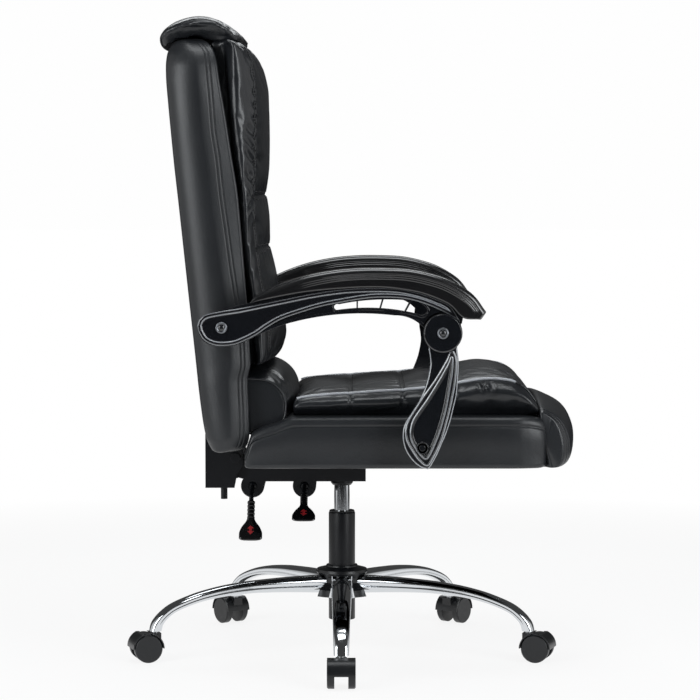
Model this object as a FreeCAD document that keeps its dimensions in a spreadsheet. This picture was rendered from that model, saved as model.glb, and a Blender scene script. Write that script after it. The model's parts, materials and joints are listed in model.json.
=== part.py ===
import FreeCAD, Part
import math
import os
import types
import Sketcher

# Reclining office chair with a gas lift and linked armrests.
# Millimetres. The origin is on the floor under the gas column, +X is the way the sitter faces,
# +Y is the sitter's left and +Z is up. The seat is at the bottom of its travel, the back upright.

V = FreeCAD.Vector
UP = V(0, 0, 1)
ACROSS = V(0, 1, 0)
FORWARD = V(1, 0, 0)

doc = FreeCAD.newDocument("reclining_chair")
sheet = doc.addObject("Spreadsheet::Sheet", "sizes")

SIZES = (
    ("clearance", 0.3, "gap between pieces that only pass or rest by each other"),
    ("running_gap", 0.05, "radial gap of a running fit"),
    ("overrun", 5, "how far a cutting tool runs past a face"),
    ("leg_count", 5, "legs and casters of the star base"),
    ("stem_circle_radius", 350, "column axis to caster stem"),
    ("hub_radius", 30, "steel hub of the star base"),
    ("hub_bottom", 98, "height"),
    ("hub_top", 144, "height"),
    ("leg_root_height", 123, "middle of a leg where it meets the hub"),
    ("leg_root_depth", 34, "leg section at the hub, up and down"),
    ("leg_root_width", 36, "leg section at the hub, across"),
    ("leg_end_height", 54, "underside of a leg's downturned end"),
    ("leg_end_depth", 22, "leg section at its end, along the leg"),
    ("leg_end_width", 27, "leg section at its end, across"),
    ("cover_bottom", 104, "lower edge of the claw cover"),
    ("cover_foot_radius", 59, "claw cover at its lower edge"),
    ("cover_slot_flare", 6, "how much each leg slot widens downwards, each side"),
    ("cover_waist_radius", 38.5, "claw cover at its waist"),
    ("cover_waist_height", 127, "height"),
    ("cover_rim_radius", 47, "claw cover's round rim"),
    ("cover_rim_height", 145, "height"),
    ("cover_neck_radius", 28, "ring round the column"),
    ("cover_neck_height", 157, "height"),
    ("column_radius", 24, "outer tube of the gas lift"),
    ("column_wall", 1.6, "outer tube wall"),
    ("column_bottom", 58, "height"),
    ("column_top", 254, "height"),
    ("column_floor", 4, "end plate thickness"),
    ("bush_length", 62, "plastic guide bush in the column"),
    ("bush_flange", 2.5, "bush flange thickness"),
    ("cylinder_radius", 14, "chromed gas cylinder"),
    ("cylinder_wall", 2.5, "gas cylinder wall"),
    ("cylinder_bottom", 100, "height at the lowest seat"),
    ("cylinder_top", 330, "height at the lowest seat"),
    ("taper_length", 42, "tapered seat at the cylinder's top"),
    ("taper_drop", 0.8, "radius lost over the taper"),
    ("rod_radius", 5, "piston rod"),
    ("rod_top", 222, "height of the piston's top"),
    ("piston_length", 8, "piston head"),
    ("bearing_height", 6, "thrust bearing stack"),
    ("bearing_radius", 13, "thrust bearing"),
    ("clip_thickness", 1.4, "retaining clip"),
    ("clip_radius", 8.5, "retaining clip"),
    ("valve_radius", 3, "release pin of the gas valve"),
    ("valve_depth", 34, "release pin below the cylinder's top"),
    ("valve_stand", 8, "release pin above the cylinder's top"),
    ("wheel_radius", 25, "caster wheel"),
    ("wheel_width", 12.5, "caster wheel"),
    ("wheel_edge", 2, "bevel of the tread's outer edge"),
    ("wheel_bore_depth", 9, "blind bore for the axle"),
    ("axle_radius", 4, "caster axle"),
    ("caster_trail", 17, "stem axis to axle"),
    ("hood_web_width", 23, "caster housing between its wheels"),
    ("hood_top", 50.4, "top of the caster housing"),
    ("hood_skirt", 25, "lowest edge of the caster housing"),
    ("fender_wall", 2, "guard over the wheels"),
    ("fender_gap", 1.3, "wheel tread to guard"),
    ("stem_boss_reach", 9, "stem housing, ahead of and behind the stem"),
    ("stem_radius", 5.5, "caster stem"),
    ("stem_depth", 9, "caster stem inside the leg, up to its cone"),
    ("stem_cone", 4, "cone at the top of a caster stem"),
    ("stem_drop", 28, "caster stem below the leg's end"),
    ("seat_bottom", 360, "underside of the seat"),
    ("tray_half_width", 63, "mechanism tray, middle to side"),
    ("tray_wall", 4, "pressed steel of the tray"),
    ("tray_front", 43, "front end of the tray"),
    ("tray_back", -140, "rear wall of the closed pan"),
    ("tray_floor", 316, "underside of the pan"),
    ("lobe_radius", 21, "round lobes that carry the levers"),
    ("lobe_drop", 8, "underside of the pan down to the levers' line"),
    ("recline_lobe_x", -160, "recline lever"),
    ("height_lobe_x", -67, "height lever"),
    ("lever_hole_radius", 7.5, "hole in a lobe for its lever's ball"),
    ("top_plate_front", 84, "plate screwed to the seat"),
    ("top_plate_back", -158, "plate screwed to the seat"),
    ("top_plate_half_width", 98, "plate screwed to the seat"),
    ("socket_radius", 20, "steel socket round the gas cylinder's taper"),
    ("socket_bottom", 303, "height"),
    ("recline_x", -190, "recline hinge"),
    ("recline_z", 360, "recline hinge"),
    ("shaft_radius", 6, "recline shaft"),
    ("shaft_head_radius", 10, "recline shaft's nuts"),
    ("shaft_head", 4, "recline shaft's nuts, thickness"),
    ("ear_radius", 14, "hinge ears"),
    ("spring_radius", 11, "return spring, middle of its wire"),
    ("spring_wire", 1.8, "return spring wire radius"),
    ("spring_length", 27.6, "return spring"),
    ("spring_offset", 20, "middle of the chair to the inner end of a spring"),
    ("bracket_inside", 72, "half the width between the back bracket's cheeks"),
    ("bracket_plate", 5, "back bracket steel"),
    ("bracket_back", -244, "rear face of the back bracket"),
    ("bracket_front", -177, "front edge of the bracket's cheeks at the hinge"),
    ("bracket_foot_front", -192, "front edge of the cheeks at the bottom"),
    ("bracket_bottom", 306, "height"),
    ("bracket_top", 384, "height of the bracket's top plate"),
    ("bracket_rear_top", 402, "height of the bracket's rear plate"),
    ("upright_half_width", 55, "bracket's tongue inside the back"),
    ("upright_length", 165, "bracket's tongue, from the top plate up"),
    ("stud_radius", 6, "stud under the bracket"),
    ("stud_x", -214, "stud under the bracket"),
    ("stud_bottom", 277, "height"),
    ("tab_half_width", 20, "tab that carries the stud"),
    ("lever_rod_radius", 4, "steel rod of a lever"),
    ("lever_sleeve_radius", 6, "ribbed sleeve on a lever"),
    ("sleeve_rib", 0.8, "rib height on the sleeve"),
    ("sleeve_rib_count", 3, "ribs on a lever's sleeve"),
    ("paddle_width", 42, "lever paddle at its wide end"),
    ("paddle_length", 43, "lever paddle"),
    ("paddle_thickness", 7, "lever paddle"),
    ("recline_lever_inner_y", -34, "inner end of the recline lever"),
    ("recline_lever_bend_y", -125, "bend of the recline lever"),
    ("recline_lever_bend_drop", 12, "bend of the recline lever below the lobe's middle"),
    ("recline_lever_neck_y", -152, "where its paddle starts"),
    ("recline_lever_neck_drop", 48, "where its paddle starts, below the lobe's middle"),
    ("height_lever_bend_y", -100, "bend of the height lever"),
    ("height_lever_bend_drop", 8, "bend of the height lever below the lobe's middle"),
    ("height_lever_neck_y", -132, "where its paddle starts"),
    ("height_lever_neck_drop", 27, "where its paddle starts, below the lobe's middle"),
    ("height_lever_rise_y", -43, "where the rod has risen into the pan"),
    ("height_lever_inner_y", -26, "where the rod turns to the valve pin"),
    ("bolt_radius", 4, "fixing bolts"),
    ("bolt_head_radius", 6.5, "fixing bolts"),
    ("bolt_head", 4, "fixing bolts, head thickness"),
    ("seat_bolt_x", 70, "front pair of seat bolts"),
    ("seat_bolt_back_x", -120, "rear pair of seat bolts"),
    ("seat_bolt_y", 84, "seat bolts, from the middle"),
    ("board_thickness", 12, "plywood"),
    ("seat_board_front", 330, "plywood seat board"),
    ("seat_board_back", -155, "plywood seat board"),
    ("seat_board_half_width", 235, "plywood seat board"),
    ("seat_half_width", 255, "upholstered seat box"),
    ("seat_back", -167, "rear face of the seat box"),
    ("seat_box_front", 357, "front end of the side panels"),
    ("seat_top", 450, "top of the seat box, under the pad"),
    ("seat_front", 419, "front of the rolled edge"),
    ("roll_top", 476, "top of the rolled front edge"),
    ("roll_half_width", 236, "rolled front edge"),
    ("roll_back", 343, "rear of the rolled front edge"),
    ("pad_back", -68, "rear end of the seat pad"),
    ("pad_front", 342.7, "front end of the seat pad"),
    ("pad_base_half_width", 214, "seat pad where it meets the box"),
    ("pad_bulge_half_width", 236, "seat pad at its widest"),
    ("pad_ridge_half_width", 205, "piped edge of the seat pad"),
    ("channel_pitch", 91, "sewn channels of the seat pad"),
    ("first_channel_x", 15, "rearmost sewn channel"),
    ("channel_depth", 6, "sewn channels"),
    ("back_lean", 5.2, "lean of the back, degrees"),
    ("back_foot_x", -166, "foot of the back's seating plane"),
    ("back_foot_z", 427, "foot of the back's seating plane"),
    ("back_half_width", 250, "upholstered back shell"),
    ("back_height", 679.5, "seating plane's foot to the top of the shell"),
    ("back_depth", 80, "seating plane to the back of the shell"),
    ("recess_half_width", 231, "front recess of the back shell"),
    ("back_board_half_width", 215, "plywood back board"),
    ("back_board_foot", 12, "plywood back board, from the plane's foot"),
    ("back_board_top_gap", 77.5, "plywood back board, below the shell's top"),
    ("back_pad_foot", 108, "lower end of the back pad"),
    ("back_pad_head", 671, "upper end of the back pad"),
    ("back_pad_half_width", 228, "back pad"),
    ("back_pad_depth", 90, "back pad at its thickest"),
    ("back_ridge_half_width", 190, "seam between the front panel and a side bolster"),
    ("bolster_depth", 36, "outer edge of the side bolsters"),
    ("back_channel_pitch", 92, "sewn channels of the back pad"),
    ("back_first_channel", 214, "lowest sewn channel above the plane's foot"),
    ("head_roll_half_width", 226, "cushion over the top of the back"),
    ("lumbar_half_width", 216, "lumbar roll"),
    ("lumbar_low", -11, "lumbar roll's lower edge"),
    ("lumbar_high", 84, "lumbar roll's upper edge"),
    ("lumbar_back", 9, "flat rear face of the lumbar roll"),
    ("lumbar_end_depth", 64, "lumbar roll at its ends"),
    ("lumbar_middle_depth", 84, "lumbar roll at its middle"),
    ("lumbar_strap_half_width", 200, "sewn strap behind the roll"),
    ("rear_pivot_x", -203, "armrest's rear hinge, on the back"),
    ("rear_pivot_z", 608, "armrest's rear hinge"),
    ("front_pivot_x", 172, "armrest's front hinge, under the pad"),
    ("front_pivot_z", 599, "armrest's front hinge"),
    ("seat_pivot_x", 138, "link's lower pivot, on the seat"),
    ("seat_pivot_z", 402, "link's lower pivot"),
    ("arm_inside", 283, "middle of the chair to the armrest frame"),
    ("arm_thickness", 34, "armrest frame"),
    ("arm_rim", 5, "raised rim round the frame"),
    ("arm_rim_depth", 2.5, "how far the rim stands out"),
    ("pad_inside", 270, "middle of the chair to the arm pad"),
    ("pad_width", 60, "arm pad"),
    ("arm_pad_round", 11, "rounding of the arm pad's upper edges"),
    ("rib_thickness", 2.6, "ribs in the armrest's window"),
    ("lug_thickness", 14, "frame's lug behind the link"),
    ("lug_radius", 30, "frame's lug"),
    ("link_thickness", 14, "armrest link"),
    ("link_rib_height", 2.6, "raised ribs of the link"),
    ("link_rib_width", 3.4, "raised ribs of the link"),
    ("link_rib_gap", 2.4, "groove between the link's ribs"),
    ("link_recess", 3, "hollow inside the ribs"),
    ("link_bore_radius", 8.5, "open lower bore of the link"),
    ("disc_radius", 33, "round cap at the front hinge"),
    ("disc_thickness", 15, "round cap at the front hinge"),
    ("disc_edge", 2, "rounding of the cap"),
    ("pivot_bolt_radius", 5, "armrest hinge bolts"),
    ("pivot_head_radius", 9.5, "armrest hinge bolts"),
    ("pivot_head", 4, "armrest hinge bolts, head thickness"),
    ("spacer_radius", 13, "sleeve between an armrest and the body"),
    ("pivot_bolt_grip", 26, "how far a hinge bolt goes into the body"),
    ("link_bolt_head_radius", 5.5, "lower bolt's head, inside the link's bore"),
)

for row, (alias, value, note) in enumerate(SIZES, start=1):
    sheet.set("A%d" % row, note)
    sheet.set("B%d" % row, str(value))
    sheet.setAlias("B%d" % row, alias)
doc.recompute()


class Size:
    """A size from the sheet, or a sum of such sizes, with the expression that gives it."""

    def __init__(self, value, text):
        self.value = float(value)
        self.text = text

    def __float__(self):
        return self.value

    def __add__(self, other):
        other = as_size(other)
        return Size(self.value + other.value, "(%s + %s)" % (self.text, other.text))

    def __sub__(self, other):
        other = as_size(other)
        return Size(self.value - other.value, "(%s - %s)" % (self.text, other.text))

    def __mul__(self, other):
        other = as_size(other)
        return Size(self.value * other.value, "(%s * %s)" % (self.text, other.text))

    def __truediv__(self, other):
        other = as_size(other)
        return Size(self.value / other.value, "(%s / %s)" % (self.text, other.text))

    def __neg__(self):
        return Size(-self.value, "(0 - %s)" % self.text)

    def __radd__(self, other):
        return as_size(other) + self

    def __rsub__(self, other):
        return as_size(other) - self

    def __rmul__(self, other):
        return as_size(other) * self


def as_size(number):
    if isinstance(number, Size):
        return number
    return Size(number, "%.9f" % number)


S = types.SimpleNamespace(
    **{alias: Size(sheet.get(alias), "sizes.%s" % alias) for alias, value, note in SIZES}
)

nodes = {}


def keep(obj, name):
    """Marks an object as one sub-part: its label names the file it is written to."""
    obj.Label = name
    nodes[name] = obj
    return obj


def place(obj, x=0, y=0, z=0, rotation=None):
    """Puts an object at a point whose coordinates stay bound to the sheet."""
    obj.Placement = FreeCAD.Placement(V(float(x), float(y), float(z)), rotation or FreeCAD.Rotation())
    for axis, length in (("x", x), ("y", y), ("z", z)):
        if isinstance(length, Size):
            obj.setExpression("Placement.Base.%s" % axis, length.text)
    return obj


def block(name, low, high):
    """A box between two corners."""
    box = doc.addObject("Part::Box", name)
    for side, near, far in zip(("Length", "Width", "Height"), low, high):
        box.setExpression(side, (as_size(far) - near).text)
    return place(box, *low)


def rod(name, radius, length, x=0, y=0, z=0, axis=UP):
    """A cylinder from a point along an axis."""
    cylinder = doc.addObject("Part::Cylinder", name)
    cylinder.setExpression("Radius", as_size(radius).text)
    cylinder.setExpression("Height", as_size(length).text)
    return place(cylinder, x, y, z, FreeCAD.Rotation(UP, axis))


def hexagon(name, radius, length, x=0, y=0, z=0, axis=UP):
    """A bolt head or nut whose corners reach a radius."""
    prism = doc.addObject("Part::Prism", name)
    prism.Polygon = 6
    prism.setExpression("Circumradius", as_size(radius).text)
    prism.setExpression("Height", as_size(length).text)
    return place(prism, x, y, z, FreeCAD.Rotation(UP, axis))


def joined(name, pieces):
    fuse = doc.addObject("Part::MultiFuse", name)
    fuse.Shapes = pieces
    fuse.Refine = True
    return fuse


def cut(name, base, tool):
    result = doc.addObject("Part::Cut", name)
    result.Base = base
    result.Tool = tool
    return result


def common(name, base, tool):
    result = doc.addObject("Part::Common", name)
    result.Base = base
    result.Tool = tool
    return result


def feature(name, shape):
    """A sub-part whose shape is worked out from the sheet's sizes."""
    obj = doc.addObject("Part::Feature", name)
    obj.Shape = shape
    return obj


def new_body(name):
    body = doc.addObject("PartDesign::Body", name)
    return body


def plane_of(body, role):
    return [item for item in body.Origin.OriginFeatures if item.Role == role][0]


def new_sketch(body, name, role):
    sketch = body.newObject("Sketcher::SketchObject", name)
    sketch.AttachmentSupport = [(plane_of(body, role), "")]
    sketch.MapMode = "FlatFace"
    return sketch


def bind(sketch, kind, geometry, point, length):
    """Fixes one coordinate of a sketch point, measured from the origin, to a size."""
    start = sketch.getPoint(geometry, point)
    now = start.x if kind == "DistanceX" else start.y
    number = sketch.addConstraint(Sketcher.Constraint(kind, -1, 1, geometry, point, now))
    sketch.setExpression("Constraints[%d]" % number, as_size(length).text)


def polygon(sketch, points):
    """A closed outline of straight lines, each corner bound to the sheet."""
    spots = [V(float(as_size(x)), float(as_size(y)), 0) for x, y in points]
    first = sketch.GeometryCount
    for start, end in zip(spots, spots[1:] + spots[:1]):
        sketch.addGeometry(Part.LineSegment(start, end))
    for step in range(len(spots)):
        after = first + (step + 1) % len(spots)
        sketch.addConstraint(Sketcher.Constraint("Coincident", first + step, 2, after, 1))
    for step, (x, y) in enumerate(points):
        bind(sketch, "DistanceX", first + step, 1, x)
        bind(sketch, "DistanceY", first + step, 1, y)
    return sketch


def circle(sketch, x, y, radius):
    spot = V(float(as_size(x)), float(as_size(y)), 0)
    number = sketch.addGeometry(Part.Circle(spot, UP, float(radius)))
    bind(sketch, "DistanceX", number, 3, x)
    bind(sketch, "DistanceY", number, 3, y)
    radial = sketch.addConstraint(Sketcher.Constraint("Radius", number, float(radius)))
    sketch.setExpression("Constraints[%d]" % radial, as_size(radius).text)
    return sketch


def pad(body, sketch, length):
    """Adds an outline's thickness, half on each side of its plane."""
    solid = body.newObject("PartDesign::Pad", sketch.Name + "_pad")
    solid.Profile = sketch
    solid.SideType = "Symmetric"
    solid.setExpression("Length", as_size(length).text)
    doc.recompute()
    return solid


def pocket(body, sketch, length):
    """Cuts an outline out of the body, half on each side of its plane."""
    before = body.Shape.Volume
    hole = body.newObject("PartDesign::Pocket", sketch.Name + "_pocket")
    hole.Profile = sketch
    hole.SideType = "Symmetric"
    hole.setExpression("Length", as_size(length).text)
    doc.recompute()
    if body.Shape.Volume >= before:
        raise RuntimeError("%s cuts nothing" % hole.Name)
    return hole


def turned(name, points):
    """A body turned about its own Z axis from an outline of (radius, height) points."""
    body = new_body(name)
    sketch = polygon(new_sketch(body, name + "_outline", "XZ_Plane"), points)
    spin = body.newObject("PartDesign::Revolution", name + "_turning")
    spin.Profile = sketch
    spin.ReferenceAxis = (sketch, ["V_Axis"])
    spin.Angle = 360
    doc.recompute()
    return body


def closed_wire(corners, middles):
    """Lines between corners, or arcs where a middle point is given."""
    edges = []
    for number, (start, middle) in enumerate(zip(corners, middles)):
        end = corners[(number + 1) % len(corners)]
        if middle is None:
            edges.append(Part.LineSegment(start, end).toShape())
        else:
            edges.append(Part.Arc(start, middle, end).toShape())
    return Part.Wire(edges)


def rounded_section(centre, wide, high, half_width, half_height, corner):
    """A rectangle with rounded corners, on two given directions about a centre."""
    share = 1 - math.sqrt(0.5)
    corners = []
    middles = []
    for sx, sy in ((1, 1), (-1, 1), (-1, -1), (1, -1)):
        a = centre + wide * (sx * half_width) + high * (sy * (half_height - corner))
        b = centre + wide * (sx * (half_width - corner)) + high * (sy * half_height)
        m = (centre + wide * (sx * (half_width - corner * share))
             + high * (sy * (half_height - corner * share)))
        pair = (a, b) if sx == sy else (b, a)
        corners.extend(pair)
        middles.extend((m, None))
    return closed_wire(corners, middles)


def bevelled_section(centre, wide, high, half_width, half_height, corner):
    """A rectangle with its corners cut off, on two given directions about a centre."""
    corners = []
    for sx, sy in ((1, 1), (-1, 1), (-1, -1), (1, -1)):
        a = centre + wide * (sx * half_width) + high * (sy * (half_height - corner))
        b = centre + wide * (sx * (half_width - corner)) + high * (sy * half_height)
        corners.extend((a, b) if sx == sy else (b, a))
    return closed_wire(corners, [None] * len(corners))


def arcs(points):
    """Edges through a row of points: an arc through every three, or a line where they are in one."""
    edges = []
    for number in range(0, len(points) - 1, 2):
        row = points[number:number + 3]
        straight = len(row) < 3 or (row[1] - row[0]).cross(row[2] - row[1]).Length < STRAIGHT_SHARE * (
            (row[1] - row[0]).Length * (row[2] - row[1]).Length)
        edge = Part.LineSegment(row[0], row[-1]) if straight else Part.Arc(*row)
        edges.append(edge.toShape())
    return edges


# Sine of the least bend that is drawn as an arc, and how near a loop its inset may come.
STRAIGHT_SHARE = 0.01
INSET_SHARE = 0.9


def arc_face(points):
    """A face inside a closed row of an even number of points."""
    return Part.Face(Part.Wire(arcs(points + points[:1])))


def inset(points, distance):
    """The points of a loop moved in by a distance, or out if it is negative, across the Y axis."""
    rim = Part.makePolygon(points + points[:1])
    doubled_area = sum(a.cross(b).y for a, b in zip(points, points[1:] + points[:1]))
    way = 1 if doubled_area > 0 else -1
    kept = []
    for number, point in enumerate(points):
        along = (points[(number + 1) % len(points)] - points[number - 1]).normalize()
        moved = point + ACROSS.cross(along) * (way * distance)
        if rim.distToShape(Part.Vertex(moved))[0] > abs(distance) * INSET_SHARE:
            kept.append(moved)
    return kept[:len(kept) // 2 * 2]


# Star base: a steel hub with five chromed tubes that sweep out and turn down to the casters.
LEG_ANGLES = [360.0 / float(S.leg_count) * turn - 90 for turn in range(int(float(S.leg_count)))]

# Radius as a share of the stem circle, height of the middle and section as shares of the root's,
# and the way the leg points, in degrees below the horizontal.
LEG_STATION_SHARES = (
    (0.07, 1.0, 0, 1.0, 1.0),
    (0.3, 1.012, 1, 0.8, 1.0),
    (0.45, 1.007, 4, 0.67, 0.985),
    (0.6, 0.977, 8, 0.575, 0.955),
    (0.73, 0.918, 13, 0.515, 0.915),
    (0.84, 0.829, 22, 0.485, 0.865),
    (0.92, 0.73, 37, 0.485, 0.82),
    (0.975, 0.594, 51, 0.53, 0.79),
    (0.992, 0.516, 69, 0.6, 0.775),
)
LEG_CORNER_SHARE = 0.3


def leg_section(radius, height, drop, depth, width, turn):
    outward = V(math.cos(turn), math.sin(turn), 0)
    aside = V(-math.sin(turn), math.cos(turn), 0)
    fall = math.radians(drop)
    over = outward * math.sin(fall) + UP * math.cos(fall)
    corner = LEG_CORNER_SHARE * min(depth, width)
    return bevelled_section(outward * radius + UP * height, aside, over, width / 2, depth / 2, corner)


def leg(angle):
    turn = math.radians(angle)
    sections = []
    for reach, rise, drop, deep, wide in LEG_STATION_SHARES:
        sections.append(leg_section(
            reach * float(S.stem_circle_radius), rise * float(S.leg_root_height), drop,
            deep * float(S.leg_root_depth), wide * float(S.leg_root_width), turn))
    sections.append(leg_section(
        float(S.stem_circle_radius), float(S.leg_end_height), 90,
        float(S.leg_end_depth), float(S.leg_end_width), turn))
    return Part.makeLoft(sections, True, True)


def round_bar(radius, low, high, x=0.0, y=0.0):
    return Part.makeCylinder(float(radius), float(high) - float(low), V(x, y, float(low)))


def stem(low, x, y):
    """A caster stem from a height up to its cone inside a leg."""
    shoulder = float(S.leg_end_height) + float(S.stem_depth)
    cone = Part.makeCone(float(S.stem_radius), float(S.stem_radius) - float(S.stem_cone) * 0.75,
                         float(S.stem_cone), V(x, y, shoulder))
    return round_bar(S.stem_radius, low, shoulder, x, y).fuse(cone)


def stem_places():
    for angle in LEG_ANGLES:
        turn = math.radians(angle)
        reach = float(S.stem_circle_radius)
        yield reach * math.cos(turn), reach * math.sin(turn)


star = round_bar(S.hub_radius, S.hub_bottom, S.hub_top).fuse([leg(angle) for angle in LEG_ANGLES])
star = star.cut(round_bar(S.column_radius, S.hub_bottom - S.overrun, S.hub_top + S.overrun))
for stem_x, stem_y in stem_places():
    star = star.cut(stem(S.leg_end_height - S.overrun, stem_x, stem_y))
keep(feature("star_base", star), "star_base")

# Claw cover: a black moulding over the hub, slotted for the legs.
cover_bore = S.hub_radius + S.clearance
base_cover = turned("base_cover", (
    (cover_bore, S.cover_bottom),
    (S.cover_foot_radius, S.cover_bottom),
    (S.cover_foot_radius * 0.9, S.cover_bottom + (S.cover_waist_height - S.cover_bottom) * 0.5),
    (S.cover_waist_radius, S.cover_waist_height),
    (S.cover_waist_radius * 1.06, S.cover_waist_height + (S.cover_rim_height - S.cover_waist_height) * 0.5),
    (S.cover_rim_radius, S.cover_rim_height),
    (S.cover_rim_radius * 0.96, S.cover_rim_height + (S.cover_neck_height - S.cover_rim_height) * 0.4),
    (S.cover_neck_radius + S.clearance * 4, S.cover_neck_height - S.clearance * 10),
    (S.cover_neck_radius, S.cover_neck_height),
    (S.column_radius + S.clearance, S.cover_neck_height),
    (S.column_radius + S.clearance, S.hub_top),
    (cover_bore, S.hub_top),
))
slot_half = S.leg_root_width / 2 + S.clearance * 2
slot_top = S.leg_root_height + S.leg_root_depth / 2 + S.clearance * 2
slot_foot = slot_half + S.cover_slot_flare
slot_shoulder = S.leg_root_height + S.clearance
slot_sketch = polygon(new_sketch(base_cover, "leg_slot", "XZ_Plane"), (
    (-slot_foot, S.cover_bottom - S.overrun),
    (slot_foot, S.cover_bottom - S.overrun),
    (slot_half, slot_shoulder),
    (slot_half, slot_top),
    (-slot_half, slot_top),
    (-slot_half, slot_shoulder),
))
volume_before = base_cover.Shape.Volume
leg_slot = base_cover.newObject("PartDesign::Pocket", "leg_slot_pocket")
leg_slot.Profile = slot_sketch
leg_slot.Reversed = True
leg_slot.setExpression("Length", (S.cover_foot_radius + S.overrun).text)
doc.recompute()
if base_cover.Shape.Volume >= volume_before:
    raise RuntimeError("the leg slot cuts nothing")
slot_pattern = base_cover.newObject("PartDesign::PolarPattern", "leg_slots")
slot_pattern.Originals = [leg_slot]
slot_pattern.Axis = (plane_of(base_cover, "Z_Axis"), [""])
slot_pattern.Angle = 360
slot_pattern.Occurrences = int(float(S.leg_count))
base_cover.Tip = slot_pattern
doc.recompute()
keep(base_cover, "base_cover")

# Caster stems: five steel pins pressed into the legs' ends, on which the casters swivel.
keep(feature("caster_stems", Part.makeCompound([
    stem(S.leg_end_height - S.stem_drop, x, y) for x, y in stem_places()])), "caster_stems")

# Casters: a housing that swivels on its stem, two wheels and the steel axle that carries them.
# Each is modelled at the origin with its stem on the Z axis and its wheels trailing along +X.
fender_inner = S.wheel_radius + S.fender_gap
fender_outer = fender_inner + S.fender_wall
wheel_inside = S.hood_web_width / 2 + S.clearance
caster_half = wheel_inside + S.wheel_width


def hood(number, x, y, angle):
    name = "caster_hood_%d" % number
    web = rod(name + "_web", fender_outer, S.hood_web_width,
              S.caster_trail, S.hood_web_width / 2, S.wheel_radius, -ACROSS)
    boss = block(name + "_boss",
                 (-S.stem_boss_reach, -S.hood_web_width * 0.4, S.hood_skirt),
                 (S.caster_trail, S.hood_web_width * 0.4, S.hood_top))
    guard = cut(name + "_guard",
                rod(name + "_guard_out", fender_outer, caster_half * 2,
                    S.caster_trail, caster_half, S.wheel_radius, -ACROSS),
                rod(name + "_guard_in", fender_inner, caster_half * 2 + S.overrun * 2,
                    S.caster_trail, caster_half + S.overrun, S.wheel_radius, -ACROSS))
    guard_room = block(name + "_guard_room",
                       (-S.stem_boss_reach * 2, -(caster_half + S.overrun), S.wheel_radius),
                       (S.caster_trail + fender_outer, caster_half + S.overrun, S.hood_top + S.overrun))
    whole = joined(name + "_whole", [web, boss, common(name + "_shield", guard, guard_room)])
    room = block(name + "_room",
                 (-S.stem_boss_reach * 3, -(caster_half + S.overrun), S.hood_skirt),
                 (S.caster_trail + fender_outer + S.overrun, caster_half + S.overrun, S.hood_top))
    holes = joined(name + "_holes", [
        rod(name + "_stem_hole", S.stem_radius + S.running_gap, S.stem_drop + S.overrun,
            0, 0, S.leg_end_height - S.stem_drop - S.clearance),
        rod(name + "_axle_hole", S.axle_radius, S.hood_web_width + S.overrun * 2,
            S.caster_trail, S.hood_web_width / 2 + S.overrun, S.wheel_radius, -ACROSS)])
    result = cut(name, common(name + "_body", whole, room), holes)
    return keep(place(result, x, y, 0, FreeCAD.Rotation(UP, angle)), name)


def wheel(name, x, y, z, rotation):
    edge = S.wheel_edge
    bore = S.axle_radius + S.running_gap
    body = turned(name, (
        (bore, 0),
        (S.wheel_radius, 0),
        (S.wheel_radius, S.wheel_width - edge),
        (S.wheel_radius - edge, S.wheel_width),
        (0, S.wheel_width),
        (0, S.wheel_bore_depth),
        (bore, S.wheel_bore_depth),
    ))
    return keep(place(body, x, y, z, rotation), name)


for number, angle in enumerate(LEG_ANGLES, start=1):
    ahead = math.cos(math.radians(angle))
    aside = math.sin(math.radians(angle))
    axle_x = (S.stem_circle_radius + S.caster_trail) * ahead
    axle_y = (S.stem_circle_radius + S.caster_trail) * aside
    hood(number, S.stem_circle_radius * ahead, S.stem_circle_radius * aside, angle)
    turn = FreeCAD.Rotation(UP, angle)
    axle_half = wheel_inside + S.wheel_bore_depth - S.clearance
    axle = rod("caster_axle_%d" % number, S.axle_radius, axle_half * 2,
               axle_x - axle_half * aside * -1, axle_y - axle_half * ahead, S.wheel_radius,
               V(-aside, ahead, 0))
    keep(axle, "caster_axle_%d" % number)
    for side, way in (("right", -1), ("left", 1)):
        lay = turn.multiply(FreeCAD.Rotation(FORWARD, -90 * way))
        wheel("caster_wheel_%d_%s" % (number, side),
              axle_x - wheel_inside * (aside * way), axle_y + wheel_inside * (ahead * way),
              S.wheel_radius, lay)

# Gas lift: column tube, its guide bush, thrust bearing, clip, piston rod, cylinder and valve pin.
tube_bore = S.column_radius - S.column_wall
rod_hole = S.rod_radius + S.running_gap
keep(turned("column_tube", (
    (rod_hole, S.column_bottom),
    (S.column_radius - S.column_wall, S.column_bottom),
    (S.column_radius, S.column_bottom + S.column_wall),
    (S.column_radius, S.column_top),
    (tube_bore, S.column_top),
    (tube_bore, S.column_bottom + S.column_floor),
    (rod_hole, S.column_bottom + S.column_floor),
)), "column_tube")
bush_bore = S.cylinder_radius + S.running_gap
keep(turned("guide_bush", (
    (bush_bore, S.column_top - S.bush_length),
    (tube_bore, S.column_top - S.bush_length),
    (tube_bore, S.column_top),
    (S.column_radius, S.column_top),
    (S.column_radius - S.bush_flange / 2, S.column_top + S.bush_flange),
    (bush_bore, S.column_top + S.bush_flange),
)), "guide_bush")
bearing_seat = S.column_bottom + S.column_floor
keep(turned("thrust_bearing", (
    (rod_hole + S.clearance, bearing_seat),
    (S.bearing_radius, bearing_seat),
    (S.bearing_radius, bearing_seat + S.bearing_height),
    (rod_hole + S.clearance, bearing_seat + S.bearing_height),
)), "thrust_bearing")
clip_top = S.column_bottom - S.clearance
clip_bottom = clip_top - S.clip_thickness
groove_radius = S.rod_radius * 0.84
keep(turned("retaining_clip", (
    (groove_radius, clip_bottom),
    (S.clip_radius, clip_bottom),
    (S.clip_radius, clip_top),
    (groove_radius, clip_top),
)), "retaining_clip")
collar_foot = bearing_seat + S.bearing_height + S.clearance
piston_radius = S.cylinder_radius - S.cylinder_wall - S.running_gap
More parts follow.
